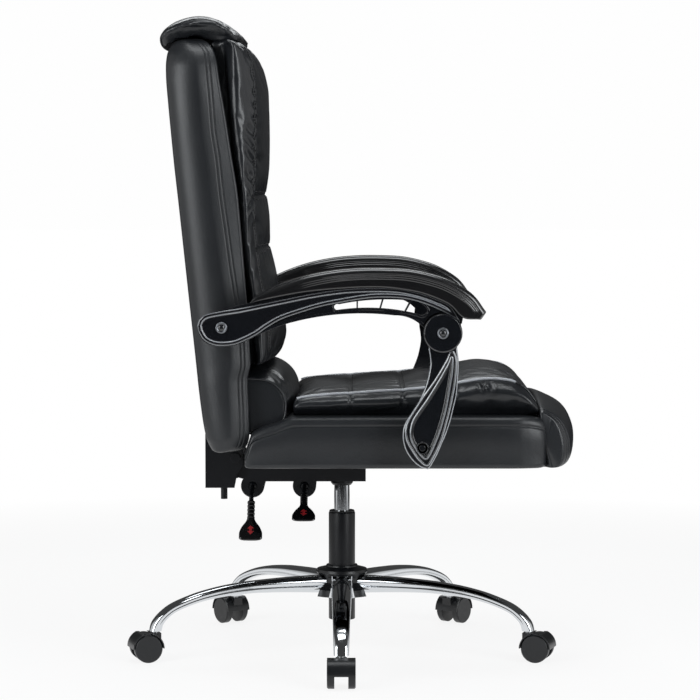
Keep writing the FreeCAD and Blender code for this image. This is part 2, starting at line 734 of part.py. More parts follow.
keep(turned("piston_rod", (
    (0, clip_bottom - S.clip_thickness),
    (S.rod_radius, clip_bottom - S.clip_thickness),
    (S.rod_radius, clip_bottom),
    (groove_radius, clip_bottom),
    (groove_radius, clip_top),
    (S.rod_radius, clip_top),
    (S.rod_radius, collar_foot),
    (S.bearing_radius * 0.75, collar_foot),
    (S.bearing_radius * 0.75, collar_foot + S.bearing_height / 2),
    (S.rod_radius, collar_foot + S.bearing_height / 2),
    (S.rod_radius, S.rod_top - S.piston_length),
    (piston_radius, S.rod_top - S.piston_length),
    (piston_radius, S.rod_top),
    (0, S.rod_top),
)), "piston_rod")
cylinder_bore = S.cylinder_radius - S.cylinder_wall
valve_hole = S.valve_radius + S.running_gap
bore_top = S.cylinder_top - S.valve_depth - S.cylinder_wall
keep(turned("lift_cylinder", (
    (rod_hole, S.cylinder_bottom),
    (S.cylinder_radius, S.cylinder_bottom),
    (S.cylinder_radius, S.cylinder_top - S.taper_length),
    (S.cylinder_radius - S.taper_drop, S.cylinder_top),
    (valve_hole, S.cylinder_top),
    (valve_hole, bore_top),
    (cylinder_bore, bore_top),
    (cylinder_bore, S.cylinder_bottom + S.cylinder_wall * 2),
    (rod_hole, S.cylinder_bottom + S.cylinder_wall * 2),
)), "lift_cylinder")
valve_top = S.cylinder_top + S.valve_stand
keep(turned("valve_pin", (
    (0, S.cylinder_top - S.valve_depth),
    (S.valve_radius, S.cylinder_top - S.valve_depth),
    (S.valve_radius, valve_top),
    (0, valve_top),
)), "valve_pin")

lobe_height = S.tray_floor - S.lobe_drop

# Mechanism tray: a welded steel pressing with a closed pan, two cheeks that carry the recline
# hinge and the levers, a plate screwed to the seat and a tapered socket for the gas cylinder.
tray = new_body("mechanism_tray")
tray_width = S.tray_half_width * 2
tray_inside = (S.tray_half_width - S.tray_wall) * 2
plate_foot = S.seat_bottom - S.tray_wall
pad(tray, polygon(new_sketch(tray, "tray_side", "XZ_Plane"), (
    (S.recline_x, S.tray_floor + S.tray_wall * 2),
    (S.recline_lobe_x, S.tray_floor),
    (S.tray_front, S.tray_floor),
    (S.tray_front, plate_foot),
    (S.recline_x, plate_foot),
)), tray_width)
pad(tray, circle(new_sketch(tray, "hinge_ear", "XZ_Plane"), S.recline_x, S.recline_z, S.ear_radius),
    tray_width)
pad(tray, circle(new_sketch(tray, "recline_lobe", "XZ_Plane"), S.recline_lobe_x, lobe_height,
                 S.lobe_radius), tray_width)
pad(tray, circle(new_sketch(tray, "height_lobe", "XZ_Plane"), S.height_lobe_x, lobe_height,
                 S.lobe_radius), tray_width)
rear_gap_back = S.recline_x - S.ear_radius - S.overrun
rear_gap_low = lobe_height - S.lobe_radius - S.overrun
pocket(tray, polygon(new_sketch(tray, "between_cheeks", "XZ_Plane"), (
    (rear_gap_back, rear_gap_low),
    (S.tray_back - S.tray_wall, rear_gap_low),
    (S.tray_back - S.tray_wall, S.recline_z + S.ear_radius + S.overrun),
    (rear_gap_back, S.recline_z + S.ear_radius + S.overrun),
)), tray_inside)
pocket(tray, polygon(new_sketch(tray, "pan_hollow", "XZ_Plane"), (
    (S.tray_back, S.tray_floor + S.tray_wall),
    (S.tray_front - S.tray_wall, S.tray_floor + S.tray_wall),
    (S.tray_front - S.tray_wall, plate_foot - S.tray_wall),
    (S.tray_back, plate_foot - S.tray_wall),
)), tray_inside)
pocket(tray, circle(new_sketch(tray, "lobe_hollow", "XZ_Plane"), S.height_lobe_x, lobe_height,
                    S.lobe_radius - S.tray_wall), tray_inside)
pocket(tray, circle(new_sketch(tray, "shaft_bore", "XZ_Plane"), S.recline_x, S.recline_z,
                    S.shaft_radius), tray_width + S.overrun)
right_holes = circle(new_sketch(tray, "lever_holes", "XZ_Plane"), S.recline_lobe_x, lobe_height,
                     S.lever_hole_radius)
circle(right_holes, S.height_lobe_x, lobe_height, S.lever_hole_radius)
volume_before = tray.Shape.Volume
lever_holes = tray.newObject("PartDesign::Pocket", "lever_holes_pocket")
lever_holes.Profile = right_holes
lever_holes.Reversed = True
lever_holes.setExpression("Length", (S.tray_half_width + S.overrun).text)
doc.recompute()
if tray.Shape.Volume >= volume_before:
    raise RuntimeError("the lever holes cut nothing")
plate_sketch = polygon(new_sketch(tray, "top_plate", "XY_Plane"), (
    (S.top_plate_back, -S.top_plate_half_width),
    (S.top_plate_front, -S.top_plate_half_width),
    (S.top_plate_front, S.top_plate_half_width),
    (S.top_plate_back, S.top_plate_half_width),
))
seat_bolt_places = [(x, y) for x in (S.seat_bolt_back_x, S.seat_bolt_x)
                    for y in (-S.seat_bolt_y, S.seat_bolt_y)]
bolt_hole = S.bolt_radius + S.clearance
for bolt_x, bolt_y in seat_bolt_places:
    circle(plate_sketch, bolt_x, bolt_y, bolt_hole)
plate_sketch.setExpression("AttachmentOffset.Base.z", plate_foot.text)
top_plate = tray.newObject("PartDesign::Pad", "top_plate_pad")
top_plate.Profile = plate_sketch
top_plate.setExpression("Length", S.tray_wall.text)
doc.recompute()
socket_top = S.cylinder_top + S.tray_wall
taper_slope = float(S.taper_drop) / float(S.taper_length)
taper_foot = S.socket_bottom - (S.cylinder_top - S.taper_length)
# The bore is cut through the pan first, then the socket is turned round it.
bore_sketch = circle(new_sketch(tray, "socket_bore", "XY_Plane"), 0, 0, S.cylinder_radius + S.clearance)
bore_sketch.setExpression("AttachmentOffset.Base.z", (S.tray_floor + S.tray_wall / 2).text)
pocket(tray, bore_sketch, S.tray_wall * 2)
socket = tray.newObject("PartDesign::Revolution", "socket_turning")
socket.Profile = polygon(new_sketch(tray, "socket_outline", "XZ_Plane"), (
    (S.cylinder_radius - taper_foot * taper_slope, S.socket_bottom),
    (S.socket_radius * 0.85, S.socket_bottom),
    (S.socket_radius, S.socket_bottom + S.tray_wall),
    (S.socket_radius, S.cylinder_top),
    (S.cylinder_radius - S.taper_drop, S.cylinder_top),
))
socket.ReferenceAxis = (socket.Profile[0], ["V_Axis"])
socket.Angle = 360
doc.recompute()
keep(tray, "mechanism_tray")

# Recline shaft: a steel bar through both cheeks with a nut outside each bracket plate.
bracket_outside = S.bracket_inside + S.bracket_plate
shaft_half = bracket_outside + S.clearance
nuts = [hexagon("shaft_nut_%s" % side, S.shaft_head_radius, S.shaft_head, S.recline_x, start,
                S.recline_z, ACROSS)
        for side, start in (("right", -(shaft_half + S.shaft_head)), ("left", shaft_half))]
bar = rod("shaft_bar", S.shaft_radius, shaft_half * 2, S.recline_x, -shaft_half, S.recline_z, ACROSS)
keep(joined("recline_shaft", [bar] + nuts), "recline_shaft")


# Return springs: one on each side of the shaft's middle, hidden between the cheeks, so each is
# the plain sleeve that its turns fill.
spring_bore = S.shaft_radius + S.running_gap
spring_outside = S.spring_radius + S.spring_wire
spring_pieces = []
for side, start in (("right", -(S.spring_offset + S.spring_length)), ("left", S.spring_offset)):
    spring_pieces.append(cut(
        "spring_%s" % side,
        rod("spring_%s_outside" % side, spring_outside, S.spring_length, S.recline_x, start, S.recline_z,
            ACROSS),
        rod("spring_%s_bore" % side, spring_bore, S.spring_length + S.overrun * 2, S.recline_x,
            start - S.overrun, S.recline_z, ACROSS)))
keep(joined("return_springs", spring_pieces), "return_springs")

# Back bracket: two cheeks on the shaft, a rear plate, a top plate and a tongue that leans with
# the back. The stud hangs from a tab in the middle.
back_turn = FreeCAD.Rotation(ACROSS, -float(S.back_lean))
lean_cos = math.cos(math.radians(float(S.back_lean)))
lean_sin = math.sin(math.radians(float(S.back_lean)))


def on_back(forward, up):
    """World X and Z of a point given along and above the back's seating plane."""
    return (S.back_foot_x + as_size(forward) * lean_cos - as_size(up) * lean_sin,
            S.back_foot_z + as_size(forward) * lean_sin + as_size(up) * lean_cos)


def back_block(name, low, high):
    """A box in the back's own leaning frame."""
    box = doc.addObject("Part::Box", name)
    for side, near, far in zip(("Length", "Width", "Height"), low, high):
        box.setExpression(side, (as_size(far) - near).text)
    x, z = on_back(low[0], low[2])
    place(box, x, low[1], z, back_turn)
    return box


def cheek(name, way):
    body = new_body(name)
    sketch = polygon(new_sketch(body, name + "_side", "XZ_Plane"), (
        (S.bracket_back, S.bracket_bottom),
        (S.bracket_foot_front, S.bracket_bottom),
        (S.bracket_foot_front + S.bracket_plate, S.bracket_bottom + S.bracket_plate * 5),
        (S.bracket_front, S.recline_z - S.ear_radius),
        (S.bracket_front, S.bracket_top),
        (S.bracket_back, S.bracket_top),
    ))
    circle(sketch, S.recline_x, S.recline_z, S.shaft_radius + S.running_gap)
    pad(body, sketch, S.bracket_plate)
    return place(body, 0, (S.bracket_inside + S.bracket_plate / 2) * way, 0)


bracket_rear = block("bracket_rear", (S.bracket_back, -bracket_outside, S.bracket_bottom),
                     (S.bracket_back + S.bracket_plate, bracket_outside, S.bracket_rear_top))
bracket_lid = block("bracket_lid", (S.bracket_back, -bracket_outside, S.bracket_top - S.bracket_plate),
                    (S.bracket_front + S.bracket_plate, bracket_outside, S.bracket_top))
bracket_tab = block("bracket_tab", (S.bracket_back, -S.tab_half_width, S.bracket_bottom),
                    (S.stud_x + S.stud_radius + S.clearance, S.tab_half_width,
                     S.bracket_bottom + S.bracket_plate))
stud = rod("bracket_stud", S.stud_radius, S.bracket_bottom - S.stud_bottom, S.stud_x, 0, S.stud_bottom)
tongue_back = -(S.board_thickness + S.bracket_plate)
tongue_foot = S.bracket_top - S.back_foot_z - S.bracket_plate / 2
tongue = back_block("bracket_tongue", (tongue_back, -S.upright_half_width, tongue_foot),
                    (-S.board_thickness, S.upright_half_width, tongue_foot + S.upright_length))
bracket_solid = joined("bracket_solid", [
    cheek("bracket_cheek_right", -1), cheek("bracket_cheek_left", 1),
    bracket_rear, bracket_lid, bracket_tab, stud, tongue])
back_bolt_places = [(across, up) for across in (-S.upright_half_width * 0.6, S.upright_half_width * 0.6)
                    for up in (S.upright_length * 0.35, S.upright_length * 0.62)]


def back_rod(name, radius, start, length, across, up, make=rod):
    """A bar square to the back's seating plane."""
    x, z = on_back(start, up)
    along = back_turn.multVec(FORWARD)
    return make(name, radius, length, x, across, z, along)


bracket_holes = joined("bracket_holes", [
    back_rod("bracket_hole_%d" % number, bolt_hole, tongue_back - S.overrun,
             S.bracket_plate + S.overrun * 2, across, up)
    for number, (across, up) in enumerate(back_bolt_places)])
keep(cut("back_bracket", bracket_solid, bracket_holes), "back_bracket")

# Bolts that hold the back board to the bracket, heads behind the tongue.
back_bolt_list = []
for number, (across, up) in enumerate(back_bolt_places):
    back_bolt_list.append(back_rod("back_bolt_head_%d" % number, S.bolt_head_radius,
                                   tongue_back - S.bolt_head, S.bolt_head, across, up, hexagon))
    back_bolt_list.append(back_rod("back_bolt_shank_%d" % number, S.bolt_radius, tongue_back,
                                   S.bracket_plate + S.board_thickness * 0.9, across, up))
keep(joined("bracket_bolts", back_bolt_list), "bracket_bolts")

# Bolts that hold the mechanism to the seat board, heads below the plate.
seat_bolt_list = []
for number, (bolt_x, bolt_y) in enumerate(seat_bolt_places):
    seat_bolt_list.append(hexagon("seat_bolt_head_%d" % number, S.bolt_head_radius, S.bolt_head,
                                  bolt_x, bolt_y, plate_foot - S.bolt_head))
    seat_bolt_list.append(rod("seat_bolt_shank_%d" % number, S.bolt_radius,
                              S.tray_wall + S.board_thickness * 0.9, bolt_x, bolt_y, plate_foot))
keep(joined("seat_bolts", seat_bolt_list), "seat_bolts")


# FreeCAD's number for a sweep whose corners are mitred.
MITRED = 1

# Levers: a bent steel rod through a lobe, with a moulded sleeve and paddle at its outer end.
def bent_rod(points, radius):
    """Straight runs of round rod, mitred at each bend."""
    path = Part.makePolygon(points)
    ring = Part.Wire([Part.Circle(points[0], points[1] - points[0], radius).toShape()])
    return path.makePipeShell([ring], True, False, MITRED)


def lever_paddle(neck, along):
    """A ribbed sleeve that opens into a flat fan."""
    wide = FORWARD
    thick = wide.cross(along).normalize()
    sleeve = float(S.lever_sleeve_radius)
    length = float(S.paddle_length)
    width = float(S.paddle_width) / 2
    thin = float(S.paddle_thickness) / 2
    # Distance from the neck, half width and half thickness, as shares of the paddle's own.
    fan_shares = ((0.0, 0.3, 1.6), (0.25, 0.42, 1.5), (0.55, 0.8, 1.15), (0.8, 0.97, 1.0), (1.0, 1.0, 0.8))
    sections = []
    for reach, half, deep in fan_shares:
        middle = neck + along * (reach * length)
        sections.append(bevelled_section(middle, wide, thick, half * width, deep * thin, deep * thin * 0.5))
    fan = Part.makeLoft(sections, True, True)
    return fan, sleeve


def lever(name, points, paddle_name):
    """The rod turns on a ball in the cheek's hole, so it can tilt there."""
    shape = bent_rod(points, float(S.lever_rod_radius))
    ball = V(points[-1].x, -(float(S.tray_half_width) - float(S.tray_wall) / 2), float(lobe_height))
    shape = shape.fuse(Part.makeSphere(float(S.lever_hole_radius) - float(S.clearance), ball))
    keep(feature(name, shape), name)
    along = (points[-1] - points[-2]).normalize()
    neck = points[-1]
    fan, sleeve = lever_paddle(neck, along)
    run = (points[-1] - points[-2]).Length * 0.8
    start = neck - along * run
    pieces = [Part.makeCylinder(sleeve, run + float(S.overrun), start, along)]
    count = int(float(S.sleeve_rib_count))
    pitch = run / count
    for number in range(count):
        foot = start + along * (pitch * number)
        pieces.append(Part.makeCylinder(sleeve + float(S.sleeve_rib), pitch / 2, foot, along))
    moulding = fan.fuse(pieces)
    bore = Part.makeCylinder(float(S.lever_rod_radius), run + float(S.overrun) * 2,
                             neck - along * (run + float(S.overrun) * 2), along)
    keep(feature(paddle_name, moulding.cut(bore)), paddle_name)


lever_line = float(lobe_height)
recline_line = [
    V(float(S.recline_lobe_x), float(S.recline_lever_inner_y), lever_line),
    V(float(S.recline_lobe_x), -float(S.tray_half_width), lever_line),
    V(float(S.recline_lobe_x), float(S.recline_lever_bend_y), lever_line - float(S.recline_lever_bend_drop)),
    V(float(S.recline_lobe_x), float(S.recline_lever_neck_y), lever_line - float(S.recline_lever_neck_drop)),
]
lever("recline_lever", recline_line, "recline_paddle")
press_height = valve_top + S.lever_rod_radius + S.clearance
pan_middle = (float(S.tray_floor) + float(S.seat_bottom)) / 2 - float(S.tray_wall)
height_line = [
    V(0, float(S.lever_rod_radius), float(press_height)),
    V(0, float(S.height_lever_inner_y), float(press_height)),
    V(float(S.height_lobe_x), float(S.height_lever_rise_y), pan_middle),
    V(float(S.height_lobe_x), -float(S.tray_half_width) + float(S.tray_wall), lever_line),
    V(float(S.height_lobe_x), -float(S.tray_half_width), lever_line),
    V(float(S.height_lobe_x), float(S.height_lever_bend_y), lever_line - float(S.height_lever_bend_drop)),
    V(float(S.height_lobe_x), float(S.height_lever_neck_y), lever_line - float(S.height_lever_neck_drop)),
]
lever("height_lever", height_line, "height_paddle")

# Seat board: plywood let into the underside of the seat.
seat_board_top = S.seat_bottom + S.board_thickness
seat_board_block = block("seat_board_block",
                         (S.seat_board_back, -S.seat_board_half_width, S.seat_bottom),
                         (S.seat_board_front, S.seat_board_half_width, seat_board_top))
seat_board_holes = joined("seat_board_holes", [
    rod("seat_board_hole_%d" % number, bolt_hole, S.board_thickness + S.overrun * 2,
        bolt_x, bolt_y, S.seat_bottom - S.overrun)
    for number, (bolt_x, bolt_y) in enumerate(seat_bolt_places)])
keep(cut("seat_board", seat_board_block, seat_board_holes), "seat_board")

# Seat box: the upholstered lower half of the seat, with a sloped rear and a rolled front edge.
# Distance from the rear face as a share of the side panel's length, and the box's lower edge,
# upper edge and half width as shares of its height and half width.
SEAT_BOX_SHARES = (
    (0.0, 0.045, 0.31, 0.97),
    (0.006, 0.01, 0.37, 0.99),
    (0.025, 0.0, 0.68, 1.0),
    (0.17, 0.0, 1.0, 1.0),
    (0.95, 0.0, 1.0, 1.0),
    (0.985, 0.01, 0.88, 0.995),
    (0.995, 0.04, 0.76, 0.985),
    (1.0, 0.12, 0.64, 0.965),
)
SEAT_CORNER_SHARE = 0.085


def seat_section(reach, low, high, wide):
    length = float(S.seat_box_front) - float(S.seat_back)
    height = float(S.seat_top) - float(S.seat_bottom)
    foot = float(S.seat_bottom) + low * height
    head = float(S.seat_bottom) + high * height
    middle = V(float(S.seat_back) + reach * length, 0, (foot + head) / 2)
    return rounded_section(middle, ACROSS, UP, wide * float(S.seat_half_width), (head - foot) / 2,
                           SEAT_CORNER_SHARE * height)


seat_box = Part.makeLoft([seat_section(*row) for row in SEAT_BOX_SHARES], True, True)

# Where the sections of a long roll lie, from its middle to its end, as shares of its half width.
ROLL_STATION_SHARES = (0.0, 0.3, 0.55, 0.75, 0.9, 0.97, 1.0)
ROLL_END_POWER = 10


def roll_stations():
    """Places across a roll from end to end, each with how full the roll is there."""
    for share in [-share for share in reversed(ROLL_STATION_SHARES[1:])] + list(ROLL_STATION_SHARES):
        yield share, math.sqrt(1 - abs(share) ** ROLL_END_POWER)


def arc_section(spot, rows):
    """A closed wire from rows of corner and, for an arc, middle; spot turns shares into a point."""
    corners = [spot(*corner) for corner, middle in rows]
    middles = [spot(*middle) if middle else None for corner, middle in rows]
    return closed_wire(corners, middles)


# Section of the rolled front edge: forward and up, as shares of its reach and rise.
FRONT_ROLL_SHARES = (
    ((-0.3, 0.0), None), ((0.75, 0.0), (0.95, 0.09)), ((1.0, 0.28), (0.975, 0.45)),
    ((0.81, 0.68), (0.5, 0.885)), ((0.0, 1.0), None), ((0.0, 0.75), None), ((-0.3, 0.75), None),
)


def front_roll_section(across, full):
    back = float(S.roll_back)
    foot = float(S.seat_bottom)
    reach = (float(S.seat_front) - back) * (1 - 0.27 * abs(across) ** 1.2) * (0.67 + 0.33 * full)
    rise = (float(S.roll_top) - foot) * (1 - 0.13 * abs(across) ** 1.5) * (0.96 + 0.04 * full)
    return arc_section(
        lambda ahead, up: V(back + ahead * reach, across * float(S.roll_half_width), foot + up * rise),
        FRONT_ROLL_SHARES)


seat_roll = Part.makeLoft([front_roll_section(*row) for row in roll_stations()], True, True)
seat_shape = seat_box.fuse(seat_roll)
board_room = Part.makeBox(
    float(S.seat_board_front) - float(S.seat_board_back) + 2 * float(S.clearance),
    2 * float(S.seat_board_half_width) + 2 * float(S.clearance),
    float(S.board_thickness) + float(S.overrun) + float(S.clearance),
    V(float(S.seat_board_back) - float(S.clearance), -float(S.seat_board_half_width) - float(S.clearance),
      float(S.seat_bottom) - float(S.overrun)))
seat_shape = seat_shape.cut(board_room)
# Lumbar roll's section: forward and up, as shares of its depth and height.
LUMBAR_SHARES = (
    ((0.0, 0.0), None), ((0.42, 0.02), (0.86, 0.18)), ((1.0, 0.47), (0.86, 0.82)),
    ((0.42, 0.98), None), ((0.0, 1.0), None),
)
back_placement = FreeCAD.Placement(V(float(S.back_foot_x), 0, float(S.back_foot_z)), back_turn)


def lumbar_section(y, full, margin):
    """A D-shaped section in the back's own frame, fuller in the middle of the roll."""
    back = float(S.lumbar_back) - margin
    depth = float(S.lumbar_end_depth)
    depth += (float(S.lumbar_middle_depth) - depth) * full + 2 * margin
    low = float(S.lumbar_low) - margin
    tall = (float(S.lumbar_high) - float(S.lumbar_low)) * (1 + 0.23 * full) + 2 * margin
    return arc_section(lambda ahead, up: V(back + ahead * depth, y, low + up * tall), LUMBAR_SHARES)


# The foam is hollowed behind the pad for the lumbar roll, which moves with the back.
lumbar_margin = float(S.overrun)
lumbar_room = Part.Face(lumbar_section(-float(S.lumbar_half_width) - lumbar_margin, 1, lumbar_margin))
lumbar_room = lumbar_room.extrude(ACROSS * (2 * (float(S.lumbar_half_width) + lumbar_margin)))
lumbar_room.Placement = back_placement
seat_shape = seat_shape.cut(lumbar_room)
for way in (-1, 1):
    start = V(float(S.seat_pivot_x), way * (float(S.seat_half_width) + float(S.overrun)),
              float(S.seat_pivot_z))
    seat_shape = seat_shape.cut(Part.makeCylinder(
        float(S.pivot_bolt_radius), float(S.pivot_bolt_grip) + float(S.overrun), start, ACROSS * -way))
keep(feature("seat_box", seat_shape), "seat_box")

# Seat pad: a crowned cushion with sewn channels across it. Each row is the place along the pad
# and the height of its piped edge and of its middle, as shares of the pad's length and of the
# seat box's height, read where no channel is.
PAD_CROWN_SHARES = (
    (0.0, 0.2, 0.22), (0.02, 0.3, 0.33), (0.11, 0.385, 0.43), (0.2, 0.42, 0.49), (0.34, 0.46, 0.57),
    (0.53, 0.53, 0.7), (0.69, 0.65, 0.84), (0.8, 0.715, 0.87), (0.88, 0.68, 0.79),
    (0.925, 0.59, 0.66), (0.96, 0.45, 0.48), (0.985, 0.26, 0.28), (1.0, 0.08, 0.1),
)


def eased(table, reach, column):
    """Reads a share table at a place between its rows, along a smooth curve without overshoot."""
    def slope(number):
        before, here, after = table[max(number - 1, 0)], table[number], table[min(number + 1, len(table) - 1)]
        if number in (0, len(table) - 1):
            return (after[column] - before[column]) / (after[0] - before[0])
        one = (here[column] - before[column]) / (here[0] - before[0])
        two = (after[column] - here[column]) / (after[0] - here[0])
        return 0.0 if one * two <= 0 else 2 * one * two / (one + two)

    for number in range(len(table) - 1):
        low, high = table[number], table[number + 1]
        if reach <= high[0]:
            span = high[0] - low[0]
            part = max(reach - low[0], 0.0) / span
            back = 1 - part
            return (low[column] * (1 + 2 * part) * back ** 2 + high[column] * (3 - 2 * part) * part ** 2
                    + span * part * back * (slope(number) * back - slope(number + 1) * part))
    return table[-1][column]


def cushion_places(start, end, channels, pitch, rows):
    """Places along a cushion where a section is drawn: at the channels, beside them and between."""
    places = [start + (end - start) * row for row in rows]
    for channel in channels:
        places.extend(channel + pitch * share for share in (-0.12, 0.0, 0.12))
    for channel in channels[:-1]:
        places.append(channel + pitch * 0.5)
    return sorted(places)


def channel_dip(place_now, channels, pitch, depth):
    """How far the cover is drawn in: full at a channel, none halfway to the next."""
    gap = min(abs(place_now - channel) for channel in channels)
    return depth * max(0.0, 1 - 2 * gap / pitch) ** 2


RIDGE_DIP_SHARE = 0.35


def pad_section(x, dip):
    length = float(S.pad_front) - float(S.pad_back)
    height = float(S.seat_top) - float(S.seat_bottom)
    reach = (x - float(S.pad_back)) / length
    foot = float(S.seat_top)
    ridge = foot + eased(PAD_CROWN_SHARES, reach, 1) * height - dip * RIDGE_DIP_SHARE
    crest = foot + eased(PAD_CROWN_SHARES, reach, 2) * height - dip
    base = float(S.pad_base_half_width)
    edge = float(S.pad_ridge_half_width)
    bulge = base + (float(S.pad_bulge_half_width) - base) * min(1.0, (ridge - foot) / (height * 0.4))
    belly = foot + (ridge - foot) * 0.5
    corners = [V(x, -base, foot), V(x, base, foot), V(x, edge, ridge), V(x, -edge, ridge)]
    middles = [None, V(x, bulge, belly), V(x, 0, crest), V(x, -bulge, belly)]
    return closed_wire(corners, middles)


seat_channels = [float(S.first_channel_x) + float(S.channel_pitch) * number for number in range(3)]
seat_places = cushion_places(float(S.pad_back), float(S.pad_front), seat_channels,
                             float(S.channel_pitch),
                             (0.0, 0.02, 0.08, 0.74, 0.81, 0.87, 0.91, 0.945, 0.975, 1.0))
seat_pad = Part.makeLoft(
    [pad_section(x, channel_dip(x, seat_channels, float(S.channel_pitch), float(S.channel_depth)))
     for x in seat_places], True, True)
keep(feature("seat_pad", seat_pad), "seat_pad")

# The back is modelled upright on its own seating plane, then leaned.
def on_back_feature(name, shape):
    obj = feature(name, shape)
    return keep(place(obj, S.back_foot_x, 0, S.back_foot_z, back_turn), name)


# Back shell: height above the plane's foot, rear face, front lip and half width, as shares of
# the back's height, depth, depth and half width.
SHELL_SHARES = (
    (-0.055, 0.62, -0.27, 0.93),
    (-0.05, 0.73, -0.12, 0.96),
    (-0.04, 0.79, -0.03, 0.978),
    (-0.016, 0.86, 0.04, 0.995),
    (0.04, 0.905, 0.09, 1.0),
    (0.127, 0.928, 0.15, 1.0),
    (0.165, 0.93, 0.24, 1.0),
    (0.37, 0.955, 0.295, 1.0),
    (0.58, 0.98, 0.31, 1.0),
    (0.7, 0.998, 0.25, 1.0),
    (0.8, 1.0, 0.2, 1.0),
    (0.885, 0.997, 0.145, 0.995),
    (0.935, 0.98, 0.12, 0.98),
    (0.967, 0.93, 0.06, 0.955),
    (0.985, 0.85, -0.04, 0.925),
    (0.996, 0.7, -0.2, 0.88),
    (1.0, 0.55, -0.35, 0.83),
)
SHELL_CORNER_SHARE = 0.27
SHELL_LIP_SHARE = 0.06


def shell_section(rise, rear, lip, wide):
    """Large corners at the rear and small bevels at the front lip."""
    z = rise * float(S.back_height)
    back = -rear * float(S.back_depth)
    front = lip * float(S.back_depth)
    half = wide * float(S.back_half_width)
    big = min(SHELL_CORNER_SHARE * float(S.back_depth), 0.45 * (front - back))
    small = SHELL_LIP_SHARE * float(S.back_depth)
    share = 1 - math.sqrt(0.5)
    corners = [V(back + big, -half, z), V(front - small, -half, z), V(front, -half + small, z),
               V(front, half - small, z), V(front - small, half, z), V(back + big, half, z),
               V(back, half - big, z), V(back, -half + big, z)]
    middles = [None, None, None, None, None, V(back + big * share, half - big * share, z), None,
               V(back + big * share, -half + big * share, z)]
    return closed_wire(corners, middles)


def room(low, high):
    """A cutting box between two corners."""
    low = [float(as_size(value)) for value in low]
    high = [float(as_size(value)) for value in high]
    return Part.makeBox(high[0] - low[0], high[1] - low[1], high[2] - low[2], V(*low))


shell = Part.makeLoft([shell_section(*row) for row in SHELL_SHARES], True, True)
shell = shell.cut(room((0, -S.recess_half_width, -S.back_depth),
                       (S.back_depth, S.recess_half_width, S.back_height + S.back_depth)))
board_edge = S.back_board_half_width + S.clearance
back_board_head = S.back_height - S.back_board_top_gap
shell = shell.cut(room(
    (-S.board_thickness - S.clearance, -board_edge, S.back_board_foot - S.clearance),
    (S.overrun, board_edge, back_board_head + S.clearance)))
tongue_edge = S.upright_half_width + S.clearance
shell = shell.cut(room(
    (tongue_back - S.bolt_head - S.clearance, -tongue_edge, -S.back_depth),
    (-S.board_thickness + S.clearance, tongue_edge, tongue_foot + S.upright_length + S.clearance)))
arm_spot = back_placement.inverse().multVec(V(float(S.rear_pivot_x), 0, float(S.rear_pivot_z)))
for way in (-1, 1):
    start = V(arm_spot.x, way * (float(S.back_half_width) + float(S.overrun)), arm_spot.z)
    shell = shell.cut(Part.makeCylinder(
        float(S.pivot_bolt_radius), float(S.pivot_bolt_grip) + float(S.overrun), start, ACROSS * -way))
on_back_feature("back_shell", shell)

# Back board: plywood in the shell, bolted to the bracket's tongue.
board = room((-S.board_thickness, -S.back_board_half_width, S.back_board_foot),
             (0, S.back_board_half_width, back_board_head))
for across, up in back_bolt_places:
    start = V(-float(S.board_thickness) - float(S.overrun), float(across), float(up))
    board = board.cut(Part.makeCylinder(
        float(bolt_hole), float(S.board_thickness) + 2 * float(S.overrun), start, FORWARD))
on_back_feature("back_board", board)

# Back pad: height as a share of its length, depth of the side bolster's seam and of the middle
# as shares of the pad's depth, read where no channel is.
BACK_PAD_SHARES = (
    (0.0, 0.45, 0.6), (0.01, 0.52, 0.72), (0.03, 0.57, 0.79), (0.07, 0.6, 0.85), (0.16, 0.61, 0.84),
    (0.3, 0.6, 0.79), (0.4, 0.6, 0.76), (0.5, 0.62, 0.76), (0.62, 0.66, 0.86), (0.72, 0.68, 0.945),
    (0.81, 0.69, 1.0), (0.89, 0.68, 1.0), (0.95, 0.6, 0.88), (0.985, 0.5, 0.72), (1.0, 0.38, 0.55),
)


def back_pad_section(z, dip):
    length = float(S.back_pad_head) - float(S.back_pad_foot)
    reach = (z - float(S.back_pad_foot)) / length
    depth = float(S.back_pad_depth)
    seam = eased(BACK_PAD_SHARES, reach, 1) * depth - dip * RIDGE_DIP_SHARE
    crest = eased(BACK_PAD_SHARES, reach, 2) * depth - dip
    full = min(1.0, 0.8 + 3.0 * min(reach, 1 - reach))
    edge = float(S.bolster_depth) * full
    half = float(S.back_pad_half_width) * (0.95 + 0.05 * full)
    ridge = float(S.back_ridge_half_width)
    swell = (edge + seam) * 0.53
    corners = [V(0, half, z), V(0, -half, z), V(edge, -half, z), V(seam, -ridge, z),
               V(seam, ridge, z), V(edge, half, z)]
    middles = [None, None, V(swell, -(half + ridge) / 2, z), V(crest, 0, z),
               V(swell, (half + ridge) / 2, z), None]
    return closed_wire(corners, middles)


back_channels = [float(S.back_first_channel) + float(S.back_channel_pitch) * number
                 for number in range(3)]
back_places = cushion_places(float(S.back_pad_foot), float(S.back_pad_head), back_channels,
                             float(S.back_channel_pitch),
                             (0.0, 0.015, 0.05, 0.11, 0.58, 0.66, 0.74, 0.82, 0.9, 0.95, 0.98, 1.0))
back_pad = Part.makeLoft(
    [back_pad_section(z, channel_dip(z, back_channels, float(S.back_channel_pitch),
                                     float(S.channel_depth)))
     for z in back_places], True, True)
on_back_feature("back_pad", back_pad)

